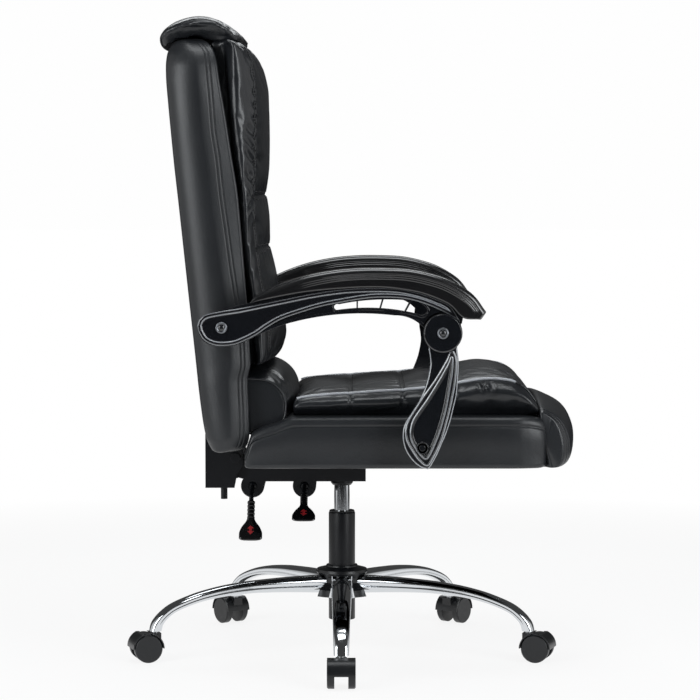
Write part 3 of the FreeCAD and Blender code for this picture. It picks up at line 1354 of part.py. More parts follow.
# Head roll: a crescent cushion over the top of the back. Outline points are forward of the
# seating plane and above the shell's top, as shares of the back's depth.
HEAD_ROLL_SHARES = (
    ((0.71, -0.07), (0.46, 0.2)), ((0.04, 0.48), (-0.3, 0.545)), ((-0.64, 0.53), (-1.03, 0.385)),
    ((-1.21, 0.14), (-1.225, 0.045)), ((-1.16, -0.04), None), ((-0.75, 0.02), None),
    ((-0.17, 0.02), None), ((0.04, -0.1), None), ((0.6, -0.1), None),
)
HEAD_ROLL_MIDDLE_SHARE = -0.23


def head_section(across, full):
    """The top swells with fullness; the underside follows what it rests on."""
    depth = float(S.back_depth)

    def spot(ahead, up):
        up = 0.02 + (up - 0.02) * (0.5 + 0.5 * full) * (1 - 0.12 * across ** 2) if up > 0.02 else up
        ahead = HEAD_ROLL_MIDDLE_SHARE + (ahead - HEAD_ROLL_MIDDLE_SHARE) * (
            (0.93 + 0.07 * full) * (1 - 0.13 * across ** 2))
        return V(ahead * depth, across * float(S.head_roll_half_width), float(S.back_height) + up * depth)

    return arc_section(spot, HEAD_ROLL_SHARES)


head_roll = Part.makeLoft([head_section(*row) for row in roll_stations()], True, True)
on_back_feature("head_roll", head_roll)

# Lumbar roll: D-shaped, fuller in the middle, sewn to the back by a strap behind it.
lumbar = Part.makeLoft(
    [lumbar_section(share * float(S.lumbar_half_width), 1 - share ** 2, 0)
     for share in (-1.0, -0.85, -0.6, -0.3, 0.0, 0.3, 0.6, 0.85, 1.0)], True, True)
lumbar = lumbar.fuse(room(
    (0, -S.lumbar_strap_half_width, S.lumbar_low + S.overrun * 2),
    (S.lumbar_back + S.overrun, S.lumbar_strap_half_width, S.lumbar_high - S.overrun * 2)))
on_back_feature("lumbar_roll", lumbar)

# Linked armrests. Outlines are shares of the length between the armrest's two hinges, along
# the line from the rear hinge to the front one and square to it.
PAD_TOP_SHARES = ((0.128, 0.115), (0.145, 0.141), (0.175, 0.161), (0.38, 0.244), (0.62, 0.283),
                  (0.84, 0.283), (1.03, 0.236), (1.13, 0.177), (1.188, 0.106))
PAD_NOSE_SHARES = ((1.188, 0.106), (1.185, 0.082), (1.161, 0.066))
PAD_CHIN_SHARES = ((1.161, 0.066), (1.089, 0.071))
PARTING_SHARES = ((1.089, 0.071), (1.03, 0.125), (0.892, 0.179), (0.73, 0.199), (0.531, 0.189),
                  (0.33, 0.162), (0.128, 0.115))
FRAME_REAR_SHARES = ((0.128, 0.115), (-0.042, 0.068))
FRAME_END_SHARES = ((-0.042, 0.068), (-0.104, -0.005), (-0.027, -0.083))
FRAME_UNDER_SHARES = ((-0.027, -0.083), (0.04, -0.084), (0.11, -0.06), (0.185, -0.02), (0.28, 0.02),
                      (0.53, 0.073), (0.78, 0.074), (0.86, 0.059), (0.921, 0.012))
FRAME_LUG_SHARES = ((0.921, 0.012), (1.0, -0.08), (1.079, 0.012))
FRAME_FRONT_SHARES = ((1.079, 0.012), (1.089, 0.071))
WINDOW_SHARES = ((0.518, 0.088), (0.506, 0.1), (0.528, 0.118), (0.67, 0.141), (0.83, 0.144),
                 (0.9, 0.131), (0.93, 0.1), (0.915, 0.078), (0.885, 0.08), (0.7, 0.102))
WINDOW_RIB_SHARES = (((0.61, 0.15), (0.611, 0.075)), ((0.73, 0.16), (0.707, 0.075)),
                     ((0.86, 0.155), (0.812, 0.06)))
RIM_SHARES = ((0.0, -0.07), (-0.075, -0.02), (-0.035, 0.054), (0.18, 0.112), (0.42, 0.161),
              (0.7, 0.184), (0.95, 0.139), (1.05, 0.09), (1.066, 0.03), (1.0, -0.06),
              (0.934, 0.026), (0.83, 0.079), (0.71, 0.091), (0.5, 0.083), (0.28, 0.037),
              (0.16, -0.019), (0.1, -0.05), (0.05, -0.068))
# Link outline and the leaf that its ribs follow, as shares of the link's length from its lower
# pivot up.
LINK_SHARES = ((1.12, 0.06), (1.05, 0.125), (0.95, 0.127), (0.78, 0.08), (0.63, 0.055),
               (0.52, 0.068), (0.38, 0.125), (0.25, 0.178), (0.12, 0.197), (0.0, 0.178),
               (-0.09, 0.125), (-0.15, 0.03), (-0.165, -0.075), (-0.12, -0.12), (-0.03, -0.152),
               (0.18, -0.2), (0.45, -0.214), (0.78, -0.176), (1.06, -0.117), (1.135, -0.03))
LEAF_SHARES = ((0.81, -0.098), (0.64, -0.06), (0.5, 0.011), (0.36, 0.09), (0.2, 0.153),
               (0.06, 0.158), (-0.06, 0.1), (-0.125, 0.02), (-0.137, -0.068), (-0.04, -0.11),
               (0.18, -0.163), (0.45, -0.177), (0.68, -0.158), (0.815, -0.135))


def spots_on(start, end, shares, y):
    """Points given as shares of the length from one hinge to another."""
    line = end - start
    square = V(-line.z, 0, line.x)
    return [start + line * along + square * up + V(0, y, 0) for along, up in shares]


rear_pivot = V(float(S.rear_pivot_x), 0, float(S.rear_pivot_z))
front_pivot = V(float(S.front_pivot_x), 0, float(S.front_pivot_z))
seat_pivot = V(float(S.seat_pivot_x), 0, float(S.seat_pivot_z))
inside = float(S.arm_inside)
frame_outside = inside + float(S.arm_thickness)
link_inside = inside + float(S.lug_thickness) + float(S.clearance)
link_outside = link_inside + float(S.link_thickness)
disc_outside = link_outside + float(S.disc_thickness)


def arm_curve(shares, y):
    return arcs(spots_on(rear_pivot, front_pivot, shares, y))


def arm_loop(curves, y):
    return Part.Wire([edge for shares in curves for edge in arm_curve(shares, y)])


def pin(radius, near, far, pivot):
    """A round bar across the chair between two distances from its middle, right-hand side."""
    return Part.makeCylinder(float(radius), float(far) - float(near),
                             pivot + V(0, -float(far), 0), ACROSS)


# Across the arm pad: distance from its inner side as a share of its width, and how far the top
# is drawn in there as a share of its rounding.
PAD_ACROSS_SHARES = ((0.0, 0.75), (0.035, 0.33), (0.1, 0.08), (0.19, 0.0), (0.81, 0.0), (0.9, 0.08),
                     (0.965, 0.33), (1.0, 0.75))


def arm_pad_section(across, drawn_in):
    y = -float(S.pad_inside) - across * float(S.pad_width)
    top = spots_on(rear_pivot, front_pivot, PAD_TOP_SHARES, y)
    parting = Part.Wire(arm_curve(PARTING_SHARES, y))
    moved = top[:1]
    for before, point, after in zip(top, top[1:], top[2:]):
        inward = (after - before).normalize().cross(-ACROSS)
        depth = min(float(S.arm_pad_round), parting.distToShape(Part.Vertex(point))[0] * 0.6)
        moved.append(point + inward * (drawn_in * depth))
    moved.append(top[-1])
    edges = arcs(moved)
    for shares in (PAD_NOSE_SHARES, PAD_CHIN_SHARES, PARTING_SHARES):
        edges.extend(arm_curve(shares, y))
    return Part.Wire(edges)


def arm_pad_shape():
    return Part.makeLoft([arm_pad_section(*row) for row in PAD_ACROSS_SHARES], True, True)


def arm_frame_shape():
    outline = arm_loop((PARTING_SHARES, FRAME_REAR_SHARES, FRAME_END_SHARES, FRAME_UNDER_SHARES,
                        FRAME_LUG_SHARES, FRAME_FRONT_SHARES), -inside)
    face = Part.Face(outline)
    thick = -ACROSS * float(S.arm_thickness)
    solid = face.extrude(thick)
    sink = float(S.arm_rim_depth)
    floor = frame_outside - sink
    window = arc_face(spots_on(rear_pivot, front_pivot, WINDOW_SHARES, -inside))
    hollow = arc_face(spots_on(rear_pivot, front_pivot, RIM_SHARES, -floor))
    recess = hollow.extrude(-ACROSS * (sink + float(S.overrun)))
    rim = arc_face(inset(spots_on(rear_pivot, front_pivot, WINDOW_SHARES, -floor),
                         -float(S.arm_rim) * 0.6))
    recess = recess.cut(rim.extrude(-ACROSS * sink))
    boss = pin(float(S.pivot_head_radius) + float(S.arm_rim) * 0.5, floor, frame_outside, rear_pivot)
    recess = recess.cut(boss)
    solid = solid.cut(recess)
    opening = window.extrude(thick + V(0, -2 * float(S.overrun), 0))
    opening.translate(V(0, float(S.overrun), 0))
    ribs = []
    for top, foot in WINDOW_RIB_SHARES:
        high, low = spots_on(rear_pivot, front_pivot, (top, foot), 0)
        along = low - high
        rib = Part.makeBox(float(S.rib_thickness), float(S.arm_thickness) * 0.5, along.Length,
                           V(-float(S.rib_thickness) / 2, -float(S.arm_thickness) * 0.25, 0))
        rib.Placement = FreeCAD.Placement(
            high + V(0, -(inside + float(S.arm_thickness) / 2), 0),
            FreeCAD.Rotation(UP, along).multiply(FreeCAD.Rotation()))
        ribs.append(rib)
    opening = opening.cut(ribs)
    solid = solid.cut(opening)
    relief = pin(float(S.disc_radius) + float(S.clearance) * 8, inside + float(S.lug_thickness),
                 frame_outside + float(S.overrun), front_pivot)
    solid = solid.cut(relief)
    solid = solid.cut(pin(S.pivot_bolt_radius, inside - float(S.overrun),
                          frame_outside + float(S.overrun), rear_pivot))
    return solid.cut(pin(float(S.pivot_bolt_radius) + float(S.running_gap), inside - float(S.overrun),
                         frame_outside + float(S.overrun), front_pivot))


def link_shape():
    outline = arc_face(spots_on(seat_pivot, front_pivot, LINK_SHARES, -link_inside))
    solid = outline.extrude(-ACROSS * float(S.link_thickness))
    leaf = spots_on(seat_pivot, front_pivot, LEAF_SHARES, -link_outside)
    width = float(S.link_rib_width)
    gap = float(S.link_rib_gap)
    rib_rise = -ACROSS * float(S.link_rib_height)
    outer_rib = arc_face(leaf).cut(arc_face(inset(leaf, width))).extrude(rib_rise)
    second = arc_face(inset(leaf, width + gap))
    third = arc_face(inset(leaf, 2 * width + gap))
    inner_rib = second.cut(third).extrude(rib_rise * 0.6)
    hollow = third.extrude(ACROSS * float(S.link_recess))
    solid = solid.cut(hollow).fuse([outer_rib, inner_rib])
    solid = solid.cut(pin(float(S.disc_radius) + float(S.clearance), link_outside,
                          link_outside + float(S.overrun), front_pivot))
    solid = solid.cut(pin(S.pivot_bolt_radius, link_inside - float(S.overrun),
                          link_outside + float(S.overrun), front_pivot))
    return solid.cut(pin(S.link_bore_radius, link_inside - float(S.overrun),
                         link_outside + float(S.overrun), seat_pivot))


def disc_shape():
    solid = pin(S.disc_radius, link_outside, disc_outside, front_pivot)
    rim = [edge for edge in solid.Edges
           if edge.BoundBox.YLength < float(S.clearance) and edge.BoundBox.YMax < -link_outside - 1]
    solid = solid.makeChamfer(float(S.disc_edge), rim)
    solid = solid.cut(pin(float(S.pivot_head_radius) + float(S.clearance),
                          disc_outside - float(S.pivot_head), disc_outside + float(S.overrun),
                          front_pivot))
    return solid.cut(pin(S.pivot_bolt_radius, link_outside - float(S.overrun),
                         disc_outside + float(S.overrun), front_pivot))


def front_bolt_shape():
    head_foot = disc_outside - float(S.pivot_head)
    shank = pin(S.pivot_bolt_radius, inside + float(S.clearance), head_foot, front_pivot)
    return shank.fuse(pin(S.pivot_head_radius, head_foot, disc_outside + float(S.clearance), front_pivot))


def rear_bolt_shape():
    """Fixed in the back: sleeve, shank through the frame and a flat head outside it."""
    wall = float(S.back_half_width)
    shape = pin(float(S.pivot_bolt_radius) - float(S.running_gap), wall - float(S.pivot_bolt_grip),
                frame_outside, rear_pivot)
    shape = shape.fuse(pin(S.spacer_radius, wall + float(S.clearance) / 3, inside - float(S.clearance),
                           rear_pivot))
    return shape.fuse(pin(S.pivot_head_radius, frame_outside + float(S.clearance),
                          frame_outside + float(S.clearance) + float(S.pivot_head), rear_pivot)
                      ).fuse(pin(float(S.pivot_bolt_radius) - float(S.running_gap), frame_outside,
                                 frame_outside + float(S.clearance), rear_pivot))


def link_bolt_shape():
    """Fixed in the seat: sleeve against the seat's side and a bolt whose head sits in the link."""
    wall = float(S.seat_half_width)
    shape = pin(float(S.pivot_bolt_radius) - float(S.running_gap), wall - float(S.pivot_bolt_grip),
                inside, seat_pivot)
    shape = shape.fuse(pin(S.spacer_radius, wall + float(S.clearance) / 3,
                           link_inside - float(S.clearance), seat_pivot))
    shape = shape.fuse(pin(S.bolt_radius, inside, link_outside - float(S.link_recess), seat_pivot))
    return shape.fuse(pin(S.link_bolt_head_radius, link_outside - float(S.link_recess) * 2,
                          link_outside - float(S.link_recess), seat_pivot))


ARM_PARTS = (
    ("arm_frame", arm_frame_shape()),
    ("arm_pad", arm_pad_shape()),
    ("arm_link", link_shape()),
    ("pivot_disc", disc_shape()),
    ("front_bolt", front_bolt_shape()),
)
for part_name, shape in ARM_PARTS:
    keep(feature(part_name + "_right", shape), part_name + "_right")
    keep(feature(part_name + "_left", shape.mirror(V(0, 0, 0), ACROSS)), part_name + "_left")
for part_name, shape in (("rear_bolts", rear_bolt_shape()), ("link_bolts", link_bolt_shape())):
    keep(feature(part_name, Part.makeCompound([shape, shape.mirror(V(0, 0, 0), ACROSS)])), part_name)

doc.recompute()
for obj in doc.Objects:
    if "Invalid" in obj.State or "Error" in obj.State:
        raise RuntimeError("%s failed: %s" % (obj.Label, obj.State))
for name, obj in nodes.items():
    if obj.Shape.isNull() or not obj.Shape.isValid():
        raise RuntimeError("%s has no valid shape" % name)
os.makedirs("parts", exist_ok=True)
for name, obj in nodes.items():
    obj.Shape.exportStep(os.path.join("parts", name + ".step"))
print(len(nodes), "sub-parts written")
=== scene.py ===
import json
import math
import bpy
import numpy as np
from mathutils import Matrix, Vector
from mathutils.bvhtree import BVHTree

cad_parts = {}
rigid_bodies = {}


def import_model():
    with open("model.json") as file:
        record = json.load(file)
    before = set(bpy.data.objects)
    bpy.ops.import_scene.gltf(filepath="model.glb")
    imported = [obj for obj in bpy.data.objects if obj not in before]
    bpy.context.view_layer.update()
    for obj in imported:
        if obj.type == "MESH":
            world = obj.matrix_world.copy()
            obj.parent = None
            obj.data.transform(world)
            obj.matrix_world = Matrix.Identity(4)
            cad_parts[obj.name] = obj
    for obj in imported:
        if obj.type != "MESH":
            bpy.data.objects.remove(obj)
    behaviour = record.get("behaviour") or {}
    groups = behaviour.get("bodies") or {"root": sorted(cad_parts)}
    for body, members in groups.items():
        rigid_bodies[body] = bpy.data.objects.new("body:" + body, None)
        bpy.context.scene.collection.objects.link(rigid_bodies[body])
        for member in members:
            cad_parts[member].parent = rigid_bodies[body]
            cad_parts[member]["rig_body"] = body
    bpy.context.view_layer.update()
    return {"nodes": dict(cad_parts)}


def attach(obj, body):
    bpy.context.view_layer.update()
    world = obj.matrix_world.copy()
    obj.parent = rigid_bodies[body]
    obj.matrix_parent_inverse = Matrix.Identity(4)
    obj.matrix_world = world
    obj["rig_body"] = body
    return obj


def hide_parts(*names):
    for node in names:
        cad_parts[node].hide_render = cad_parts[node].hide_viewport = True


# Reclining office chair: the looks over the CAD frame. Sizes are in millimetres, in the CAD frame.
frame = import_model()
scene = bpy.context.scene
MM = 0.001
HANDS = (("right", -1), ("left", 1))


# ---------------------------------------------------------------------------------------------
# Star base. Five pressed steel tubes are welded to a hub, swept out and turned down over the
# casters, then polished and chromed. The tube's sides are pressed flat with a shallow groove.
def linear(code):
    """An sRGB hex colour as linear red, green, blue and alpha."""
    part = np.array([int(code[i:i + 2], 16) for i in (1, 3, 5)]) / 255
    return (*np.where(part <= 0.04045, part / 12.92, ((part + 0.055) / 1.055) ** 2.4), 1.0)


def add(tree, kind, settings=(), links=(), into=()):
    """Adds a node, gives its properties and sockets their values, joins its inputs to outputs,
    and its own outputs to the inputs that `into` lists as output, node, input."""
    node = tree.nodes.new("ShaderNode" + kind)
    for key, value in dict(settings).items():
        if isinstance(key, str) and hasattr(node, key):
            setattr(node, key, value)
        else:
            node.inputs[key].default_value = value
    for key, (source, output) in dict(links).items():
        tree.links.new(source.outputs[output], node.inputs[key])
    for output, target, key in into:
        tree.links.new(node.outputs[output], target.inputs[key])
    return node


def finish(name, sockets):
    """A new material whose one shader has these socket values, and its pattern coordinates."""
    material = bpy.data.materials.new(name)
    material.use_nodes = True
    tree = material.node_tree
    shader = tree.nodes["Principled BSDF"]
    for key, value in sockets.items():
        shader.inputs[key].default_value = value
    return material, tree, shader, {"Vector": (add(tree, "TexCoord"), "Object")}


def placed(name, points, faces, material, body=None):
    """A mesh of points and faces as an object in the scene, on a body if one is named."""
    mesh = bpy.data.meshes.new(name)
    mesh.from_pydata((np.asarray(points) * MM).tolist(), [], faces)
    mesh.materials.append(material)
    piece = bpy.data.objects.new(name, mesh)
    scene.collection.objects.link(piece)
    if body:
        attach(piece, body)
    return piece


def skin(name, grid, material, cad=(), body=None, crisp=35, ends=True):
    """A smooth mesh over a grid of points. Each row is a closed ring, the end rings close on
    their middles, and the faces are turned to the side that gives a positive volume."""
    rows, columns = grid.shape[:2]
    points = grid.reshape(-1, 3)
    spot = np.arange(rows * columns).reshape(rows, columns)
    here, there = spot[:-1], spot[1:]
    quads = np.stack([here, np.roll(here, -1, 1), np.roll(there, -1, 1), there], -1).reshape(-1, 4)
    faces = quads.tolist()
    if ends:
        points = np.vstack([points, grid[0].mean(0), grid[-1].mean(0)])
        for number, ring in ((0, spot[0][::-1]), (1, spot[-1])):
            middle = np.full(columns, rows * columns + number)
            faces += np.stack([middle, ring, np.roll(ring, -1)], -1).tolist()
    a, b, c, d = (points[quads[:, k]] for k in range(4))
    if (a * np.cross(b, c)).sum() + (a * np.cross(c, d)).sum() < 0:
        faces = [face[::-1] for face in faces]
    piece = placed(name, points, faces, material, body or frame["nodes"][cad[0]]["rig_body"])
    piece.data.shade_smooth()
    piece.data.set_sharp_from_angle(angle=math.radians(crisp))
    if cad:
        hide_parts(*cad)
    return piece


def eased(table, place):
    """Reads a table's other columns at places along its first, on a cubic that never overshoots."""
    table = np.asarray(table, float)
    place = np.atleast_1d(np.asarray(place, float))
    x = table[:, 0]
    step = np.diff(x)[:, None]
    rise = np.diff(table[:, 1:], axis=0) / step
    both = rise[:-1] * rise[1:]
    inner = np.where(both > 0, 2 * both / np.where(both > 0, rise[:-1] + rise[1:], 1), 0)
    slope = np.vstack([rise[:1], inner, rise[-1:]])
    number = np.clip(np.searchsorted(x, place) - 1, 0, len(x) - 2)
    part = np.clip((place - x[number]) / step[number, 0], 0, 1)[:, None]
    back = 1 - part
    return (table[number, 1:] * (1 + 2 * part) * back ** 2
            + table[number + 1, 1:] * (3 - 2 * part) * part ** 2
            + step[number] * part * back * (slope[number] * back - slope[number + 1] * part))


def circle(count):
    """Cosines and sines of this many even steps round a circle."""
    angle = np.linspace(0, 2 * np.pi, count, endpoint=False)
    return np.cos(angle), np.sin(angle)


def bell(distance, width):
    """One at no distance, fading on both sides as a Gauss curve of this width."""
    return np.exp(-(distance / width) ** 2)


def squared(wave, power):
    """A cosine or sine raised to a power, its sign kept: under one it squares a circle up."""
    return np.sign(wave) * np.abs(wave) ** power


# Chromium plate over polished steel: a bright mirror, a little softened by polishing lines.
chrome, tree, shader, at = finish("chromed_polished_steel", {
    "Base Color": linear("#d9dcdf"), "Metallic": 1.0})
haze = add(tree, "TexNoise", {"Scale": 18, "Detail": 3}, at)
add(tree, "MapRange", {"From Min": 0.35, "From Max": 0.75, "To Min": 0.05, "To Max": 0.12},
    {"Value": (haze, "Fac")}, [("Result", shader, "Roughness")])

# Radius, height of the tube's middle, droop in degrees, depth and width of the tube.
LEG = ((24, 123, 0, 34, 36), (105, 124.5, 1, 27.2, 36), (157, 123.9, 4, 22.8, 35.4),
       (210, 120.2, 8, 19.6, 34.4), (255.5, 112.9, 13, 17.5, 33), (294, 102, 22, 16.5, 31),
       (322, 89.8, 37, 16.5, 29.5), (341.3, 73.1, 51, 18, 28.4), (347.2, 63.5, 69, 20.4, 27.9),
       (350, 54, 90, 22, 27))
LEGS, FIRST_LEG = 5, -90
# The tube's section is a squared circle with a groove along each side.
LEG_SQUARING, SIDE_GROOVE, GROOVE_WIDTH = 0.78, 0.07, 0.16
rows = eased([(k / (len(LEG) - 1), *row) for k, row in enumerate(LEG)], np.linspace(0, 1, 65))
radius, height, droop, deep, wide = rows.T[..., None]
side, over = circle(56)
upward = squared(over, LEG_SQUARING)
across = squared(side, LEG_SQUARING) * (1 - SIDE_GROOVE * bell(over, GROOVE_WIDTH))
fall = np.radians(droop)
along = radius + np.sin(fall) * upward * deep / 2
lift = height + np.cos(fall) * upward * deep / 2
aside = across * wide / 2
HUB = ((24.3, 98), (29, 98), (30, 99), (30, 143), (29, 144), (24.3, 144), (24.3, 98))


def turned(profile, columns=96):
    """A profile of radius and height carried round the chair's upright axis."""
    c, s = circle(columns)
    radius, height = np.asarray(profile, float).T[..., None]
    return np.stack([radius * c, radius * s, height + 0 * c], -1)


skin("star_hub", turned(HUB), chrome, body="base", ends=False)
for number in range(LEGS):
    swing = math.radians(360 // LEGS * number + FIRST_LEG)
    out = np.array([math.cos(swing), math.sin(swing), 0])
    by = np.array([-math.sin(swing), math.cos(swing), 0])
    grid = along[..., None] * out + aside[..., None] * by + lift[..., None] * np.array([0, 0, 1])
    skin("star_leg_%d" % (number + 1), grid, chrome, cad=("star_base",), crisp=60)


# ---------------------------------------------------------------------------------------------
# Claw cover, caster housings and wheels. Glass-filled nylon, moulded in a lightly sparked tool,
# so the black is even, a little grey and softly shiny.
def patchy(tree, shader, at, scale, detail, low, high):
    """Lets the roughness drift between two values over patches of noise, and gives the noise."""
    patch = add(tree, "TexNoise", {"Scale": scale, "Detail": detail}, at)
    add(tree, "MapRange", {"To Min": low, "To Max": high}, {"Value": (patch, "Fac")},
        [("Result", shader, "Roughness")])
    return patch


def rounded(tree, shader, radius, samples=6, height=None, strength=0.1, deep=0.0002):
    """Rounds edges by a radius in metres, with bumps of this depth on them if a height is given."""
    edge = add(tree, "Bevel", {"samples": samples, "Radius": radius})
    if height:
        edge = add(tree, "Bump", {"Strength": strength, "Distance": deep},
                   {"Height": height, "Normal": (edge, "Normal")})
    tree.links.new(edge.outputs["Normal"], shader.inputs["Normal"])


# The radius of moulded edges, in metres.
EDGE = 0.0012
nylon, tree, shader, at = finish("moulded_black_nylon", {"Base Color": linear("#0e1013")})
# Spark texture of about 0.3 mm, drawn at 1 mm so that it shows.
grit = add(tree, "TexNoise", {"Scale": 1000, "Detail": 2}, at)
rounded(tree, shader, EDGE, height=(grit, "Fac"), strength=0.12)
patchy(tree, shader, at, 30, 2, 0.28, 0.4)


def dress(material, *names):
    """Gives a CAD node's slots a finish."""
    for name in names:
        for slot in frame["nodes"][name].material_slots:
            slot.material = material


CASTERS = range(1, 6)
dress(nylon, "base_cover", *["caster_hood_%d" % k for k in CASTERS])
# Polyamide wheels: black, with duller patches where they have rolled.
tread, tree, shader, at = finish("polyamide_wheel", {"Base Color": linear("#0e1013")})
patchy(tree, shader, at, 120, 5, 0.28, 0.55)
rounded(tree, shader, EDGE)
dress(tread, *["caster_wheel_%d_%s" % (k, hand) for k in CASTERS for hand, way in HANDS])

# ---------------------------------------------------------------------------------------------
# Gas lift. A drawn steel tube painted black, a plastic bush in its mouth and the ground,
# chromed cylinder that slides in it.
paint, tree, shader, at = finish("powder_coated_steel", {
    "Roughness": 0.36, "Specular IOR Level": 0.3})
# Powder coat's orange peel, about 1.5 mm across.
peel = add(tree, "TexNoise", {"Scale": 650, "Detail": 1}, at)
rounded(tree, shader, 0.001, height=(peel, "Fac"), deep=0.0003)
dust = add(tree, "TexNoise", {"Scale": 25, "Detail": 4}, at)
add(tree, "Mix", {"data_type": "RGBA", "A": linear("#08090c"), "B": linear("#0e1015")},
    {"Factor": (dust, "Fac")}, [("Result", shader, "Base Color")])

skin("column", turned(((22.4, 58), (23.6, 58), (24, 59), (24, 251), (23.6, 253), (22.8, 254),
                       (22.4, 253), (22.4, 58))), paint, cad=("column_tube",), ends=False)
skin("bush", turned(((14.2, 200), (22.2, 200), (22.2, 254.2), (22.9, 254.6), (22.9, 256),
                     (22.2, 256.5), (15, 256.5), (14.2, 255.8), (14.2, 200))), nylon,
     cad=("guide_bush",), ends=False)
skin("cylinder", turned(((13.6, 100), (14, 100.5), (14, 288), (13.2, 330), (11.5, 330.4),
                         (6, 330.4))), chrome, cad=("lift_cylinder",))

# ---------------------------------------------------------------------------------------------
# Mechanism under the seat. Pressed and welded steel plates, powder-coated black, with
# zinc-plated screws and shaft.
zinc, tree, shader, at = finish("zinc_plated_steel", {
    "Base Color": linear("#b4b6b8"), "Metallic": 1.0})
patchy(tree, shader, at, 160, 4, 0.24, 0.42)
dress(paint, "mechanism_tray", "back_bracket", "recline_shaft")
dress(zinc, "return_springs", "seat_bolts", "bracket_bolts", "valve_pin", "retaining_clip",
      "thrust_bearing", "piston_rod", "caster_stems", *["caster_axle_%d" % k for k in CASTERS])

# Board inside the seat: seven-ply beech, its edge in pale and dark layers 1.7 mm thick.
ply, tree, shader, at = finish("beech_plywood", {"Roughness": 0.6})
grain = add(tree, "TexNoise", {"Scale": 14, "Detail": 6, "Distortion": 2}, at)
layer = add(tree, "TexWave", {"bands_direction": "Z", "Scale": 95, "Distortion": 0.4}, at)
tone = add(tree, "Mix", {"data_type": "RGBA", "A": linear("#c39a66"), "B": linear("#9c7343")},
           {"Factor": (grain, "Fac")})
add(tree, "Mix", {"data_type": "RGBA", "blend_type": "MULTIPLY", "Factor": 0.25},
    {"A": (tone, "Result"), "B": (layer, "Color")}, [("Result", shader, "Base Color")])
dress(ply, "seat_board")

# ---------------------------------------------------------------------------------------------
# Levers. A bent steel rod under a ribbed grip, with a fan-shaped paddle moulded in gloss black
# and a plain red arrow printed on it.
gloss, tree, shader, at = finish("gloss_black_abs", {
    "Base Color": linear("#08080a"), "Coat Weight": 0.3})
patchy(tree, shader, at, 60, 2, 0.1, 0.2)
# Screen ink: a flat dark red, faintly speckled.
print_red, tree, shader, at = finish("screen_printed_red", {"Roughness": 0.45})
speck = add(tree, "TexNoise", {"Scale": 900}, at)
add(tree, "Mix", {"data_type": "RGBA", "A": linear("#731419"), "B": linear("#8c1b21")},
    {"Factor": (speck, "Fac")}, [("Result", shader, "Base Color")])


def tube(route, radius, columns=20):
    """Rings of a radius round a route, each ring square to the route where it stands."""
    route = np.asarray(route, float)
    ahead = np.gradient(route, axis=0)
    ahead /= np.linalg.norm(ahead, axis=1)[:, None]
    first = np.cross(ahead[0], (1, 0, 0) if abs(ahead[0][0]) < 0.7 else (0, 0, 1))
    sides = [first / np.linalg.norm(first)]
    for way in ahead[1:]:
        kept = sides[-1] - way * (sides[-1] @ way)
        sides.append(kept / np.linalg.norm(kept))
    one = np.array(sides)
    two = np.cross(ahead, one)
    c, s = circle(columns)
    radius = np.broadcast_to(radius, len(route))[:, None, None]
    return route[:, None] + radius * (c[:, None] * one[:, None] + s[:, None] * two[:, None])


# Share of the fan's length, half width and half thickness.
FAN = ((0, 6.5, 6), (0.12, 8.5, 5), (0.4, 16.5, 4.2), (0.7, 20.5, 3.8), (0.9, 20.5, 3.3),
       (0.97, 17.5, 2.4), (1, 12, 1.2))
ARROW = np.array([(0, 9), (6, 2.5), (2.4, 2.5), (2.4, -2.5), (6, -2.5), (0, -9), (-6, -2.5),
                  (-2.4, -2.5), (-2.4, 2.5), (-6, 2.5)])
FAN_LENGTH, GRIP_RIBS, GRIP_SHARE, ARROW_AT, ARROW_LIFT, INK = 43, 5, 0.78, 0.56, 4.35, 0.6


def paddle(name, bend, neck, cad):
    """A ribbed grip round the rod, then a fan that widens from the neck to a rounded end."""
    bend, neck = np.array(bend, float), np.array(neck, float)
    ahead = (neck - bend) / np.linalg.norm(neck - bend)
    normal = np.array([0, ahead[2], -ahead[1]])
    normal *= -np.sign(normal[1])
    run = np.linspace(0, 1, 61)
    start = neck - ahead * np.linalg.norm(neck - bend) * GRIP_SHARE
    ribs = 6 + 0.7 * (np.sin(run * 2 * np.pi * GRIP_RIBS) > 0)
    body = frame["nodes"][cad]["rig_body"]
    skin(name + "_grip", tube(start + (neck + ahead * 3 - start) * run[:, None], ribs, 28),
         gloss, body=body)
    along = 1 - (1 - np.linspace(0, 1, 33)) ** 1.6
    half, thick = eased(FAN, along).T
    c, s = circle(40)
    grid = (neck + ahead * (along * FAN_LENGTH)[:, None, None]
            + (half[:, None] * squared(c, 0.6))[..., None] * np.array([1, 0, 0])
            + (thick[:, None] * squared(s, 0.9))[..., None] * normal)
    skin(name, grid, gloss, cad=(cad,), crisp=70)
    middle = neck + ahead * FAN_LENGTH * ARROW_AT + normal * ARROW_LIFT
    points = middle + ARROW[:, :1] * np.array([1, 0, 0]) - ARROW[:, 1:] * ahead
    corners = len(ARROW)
    faces = [list(range(corners)), list(range(2 * corners - 1, corners - 1, -1))]
    faces += [[k, k + corners, (k + 1) % corners + corners, (k + 1) % corners]
              for k in range(corners)]
    placed(name + "_arrow", np.vstack([points, points - normal * INK]), faces, print_red, body)


paddle("recline_fan", (-160, -125, 296), (-160, -152, 260), "recline_paddle")
paddle("height_fan", (-67, -100, 300), (-67, -132, 281), "height_paddle")
dress(paint, "recline_lever", "height_lever")

# ---------------------------------------------------------------------------------------------
# Seat box. A foam-covered frame in black coated leather, its sides sewn to the top a little
# below the edge, with a separate padded roll bent over the front.
leather, tree, shader, at = finish("black_coated_leather", {})
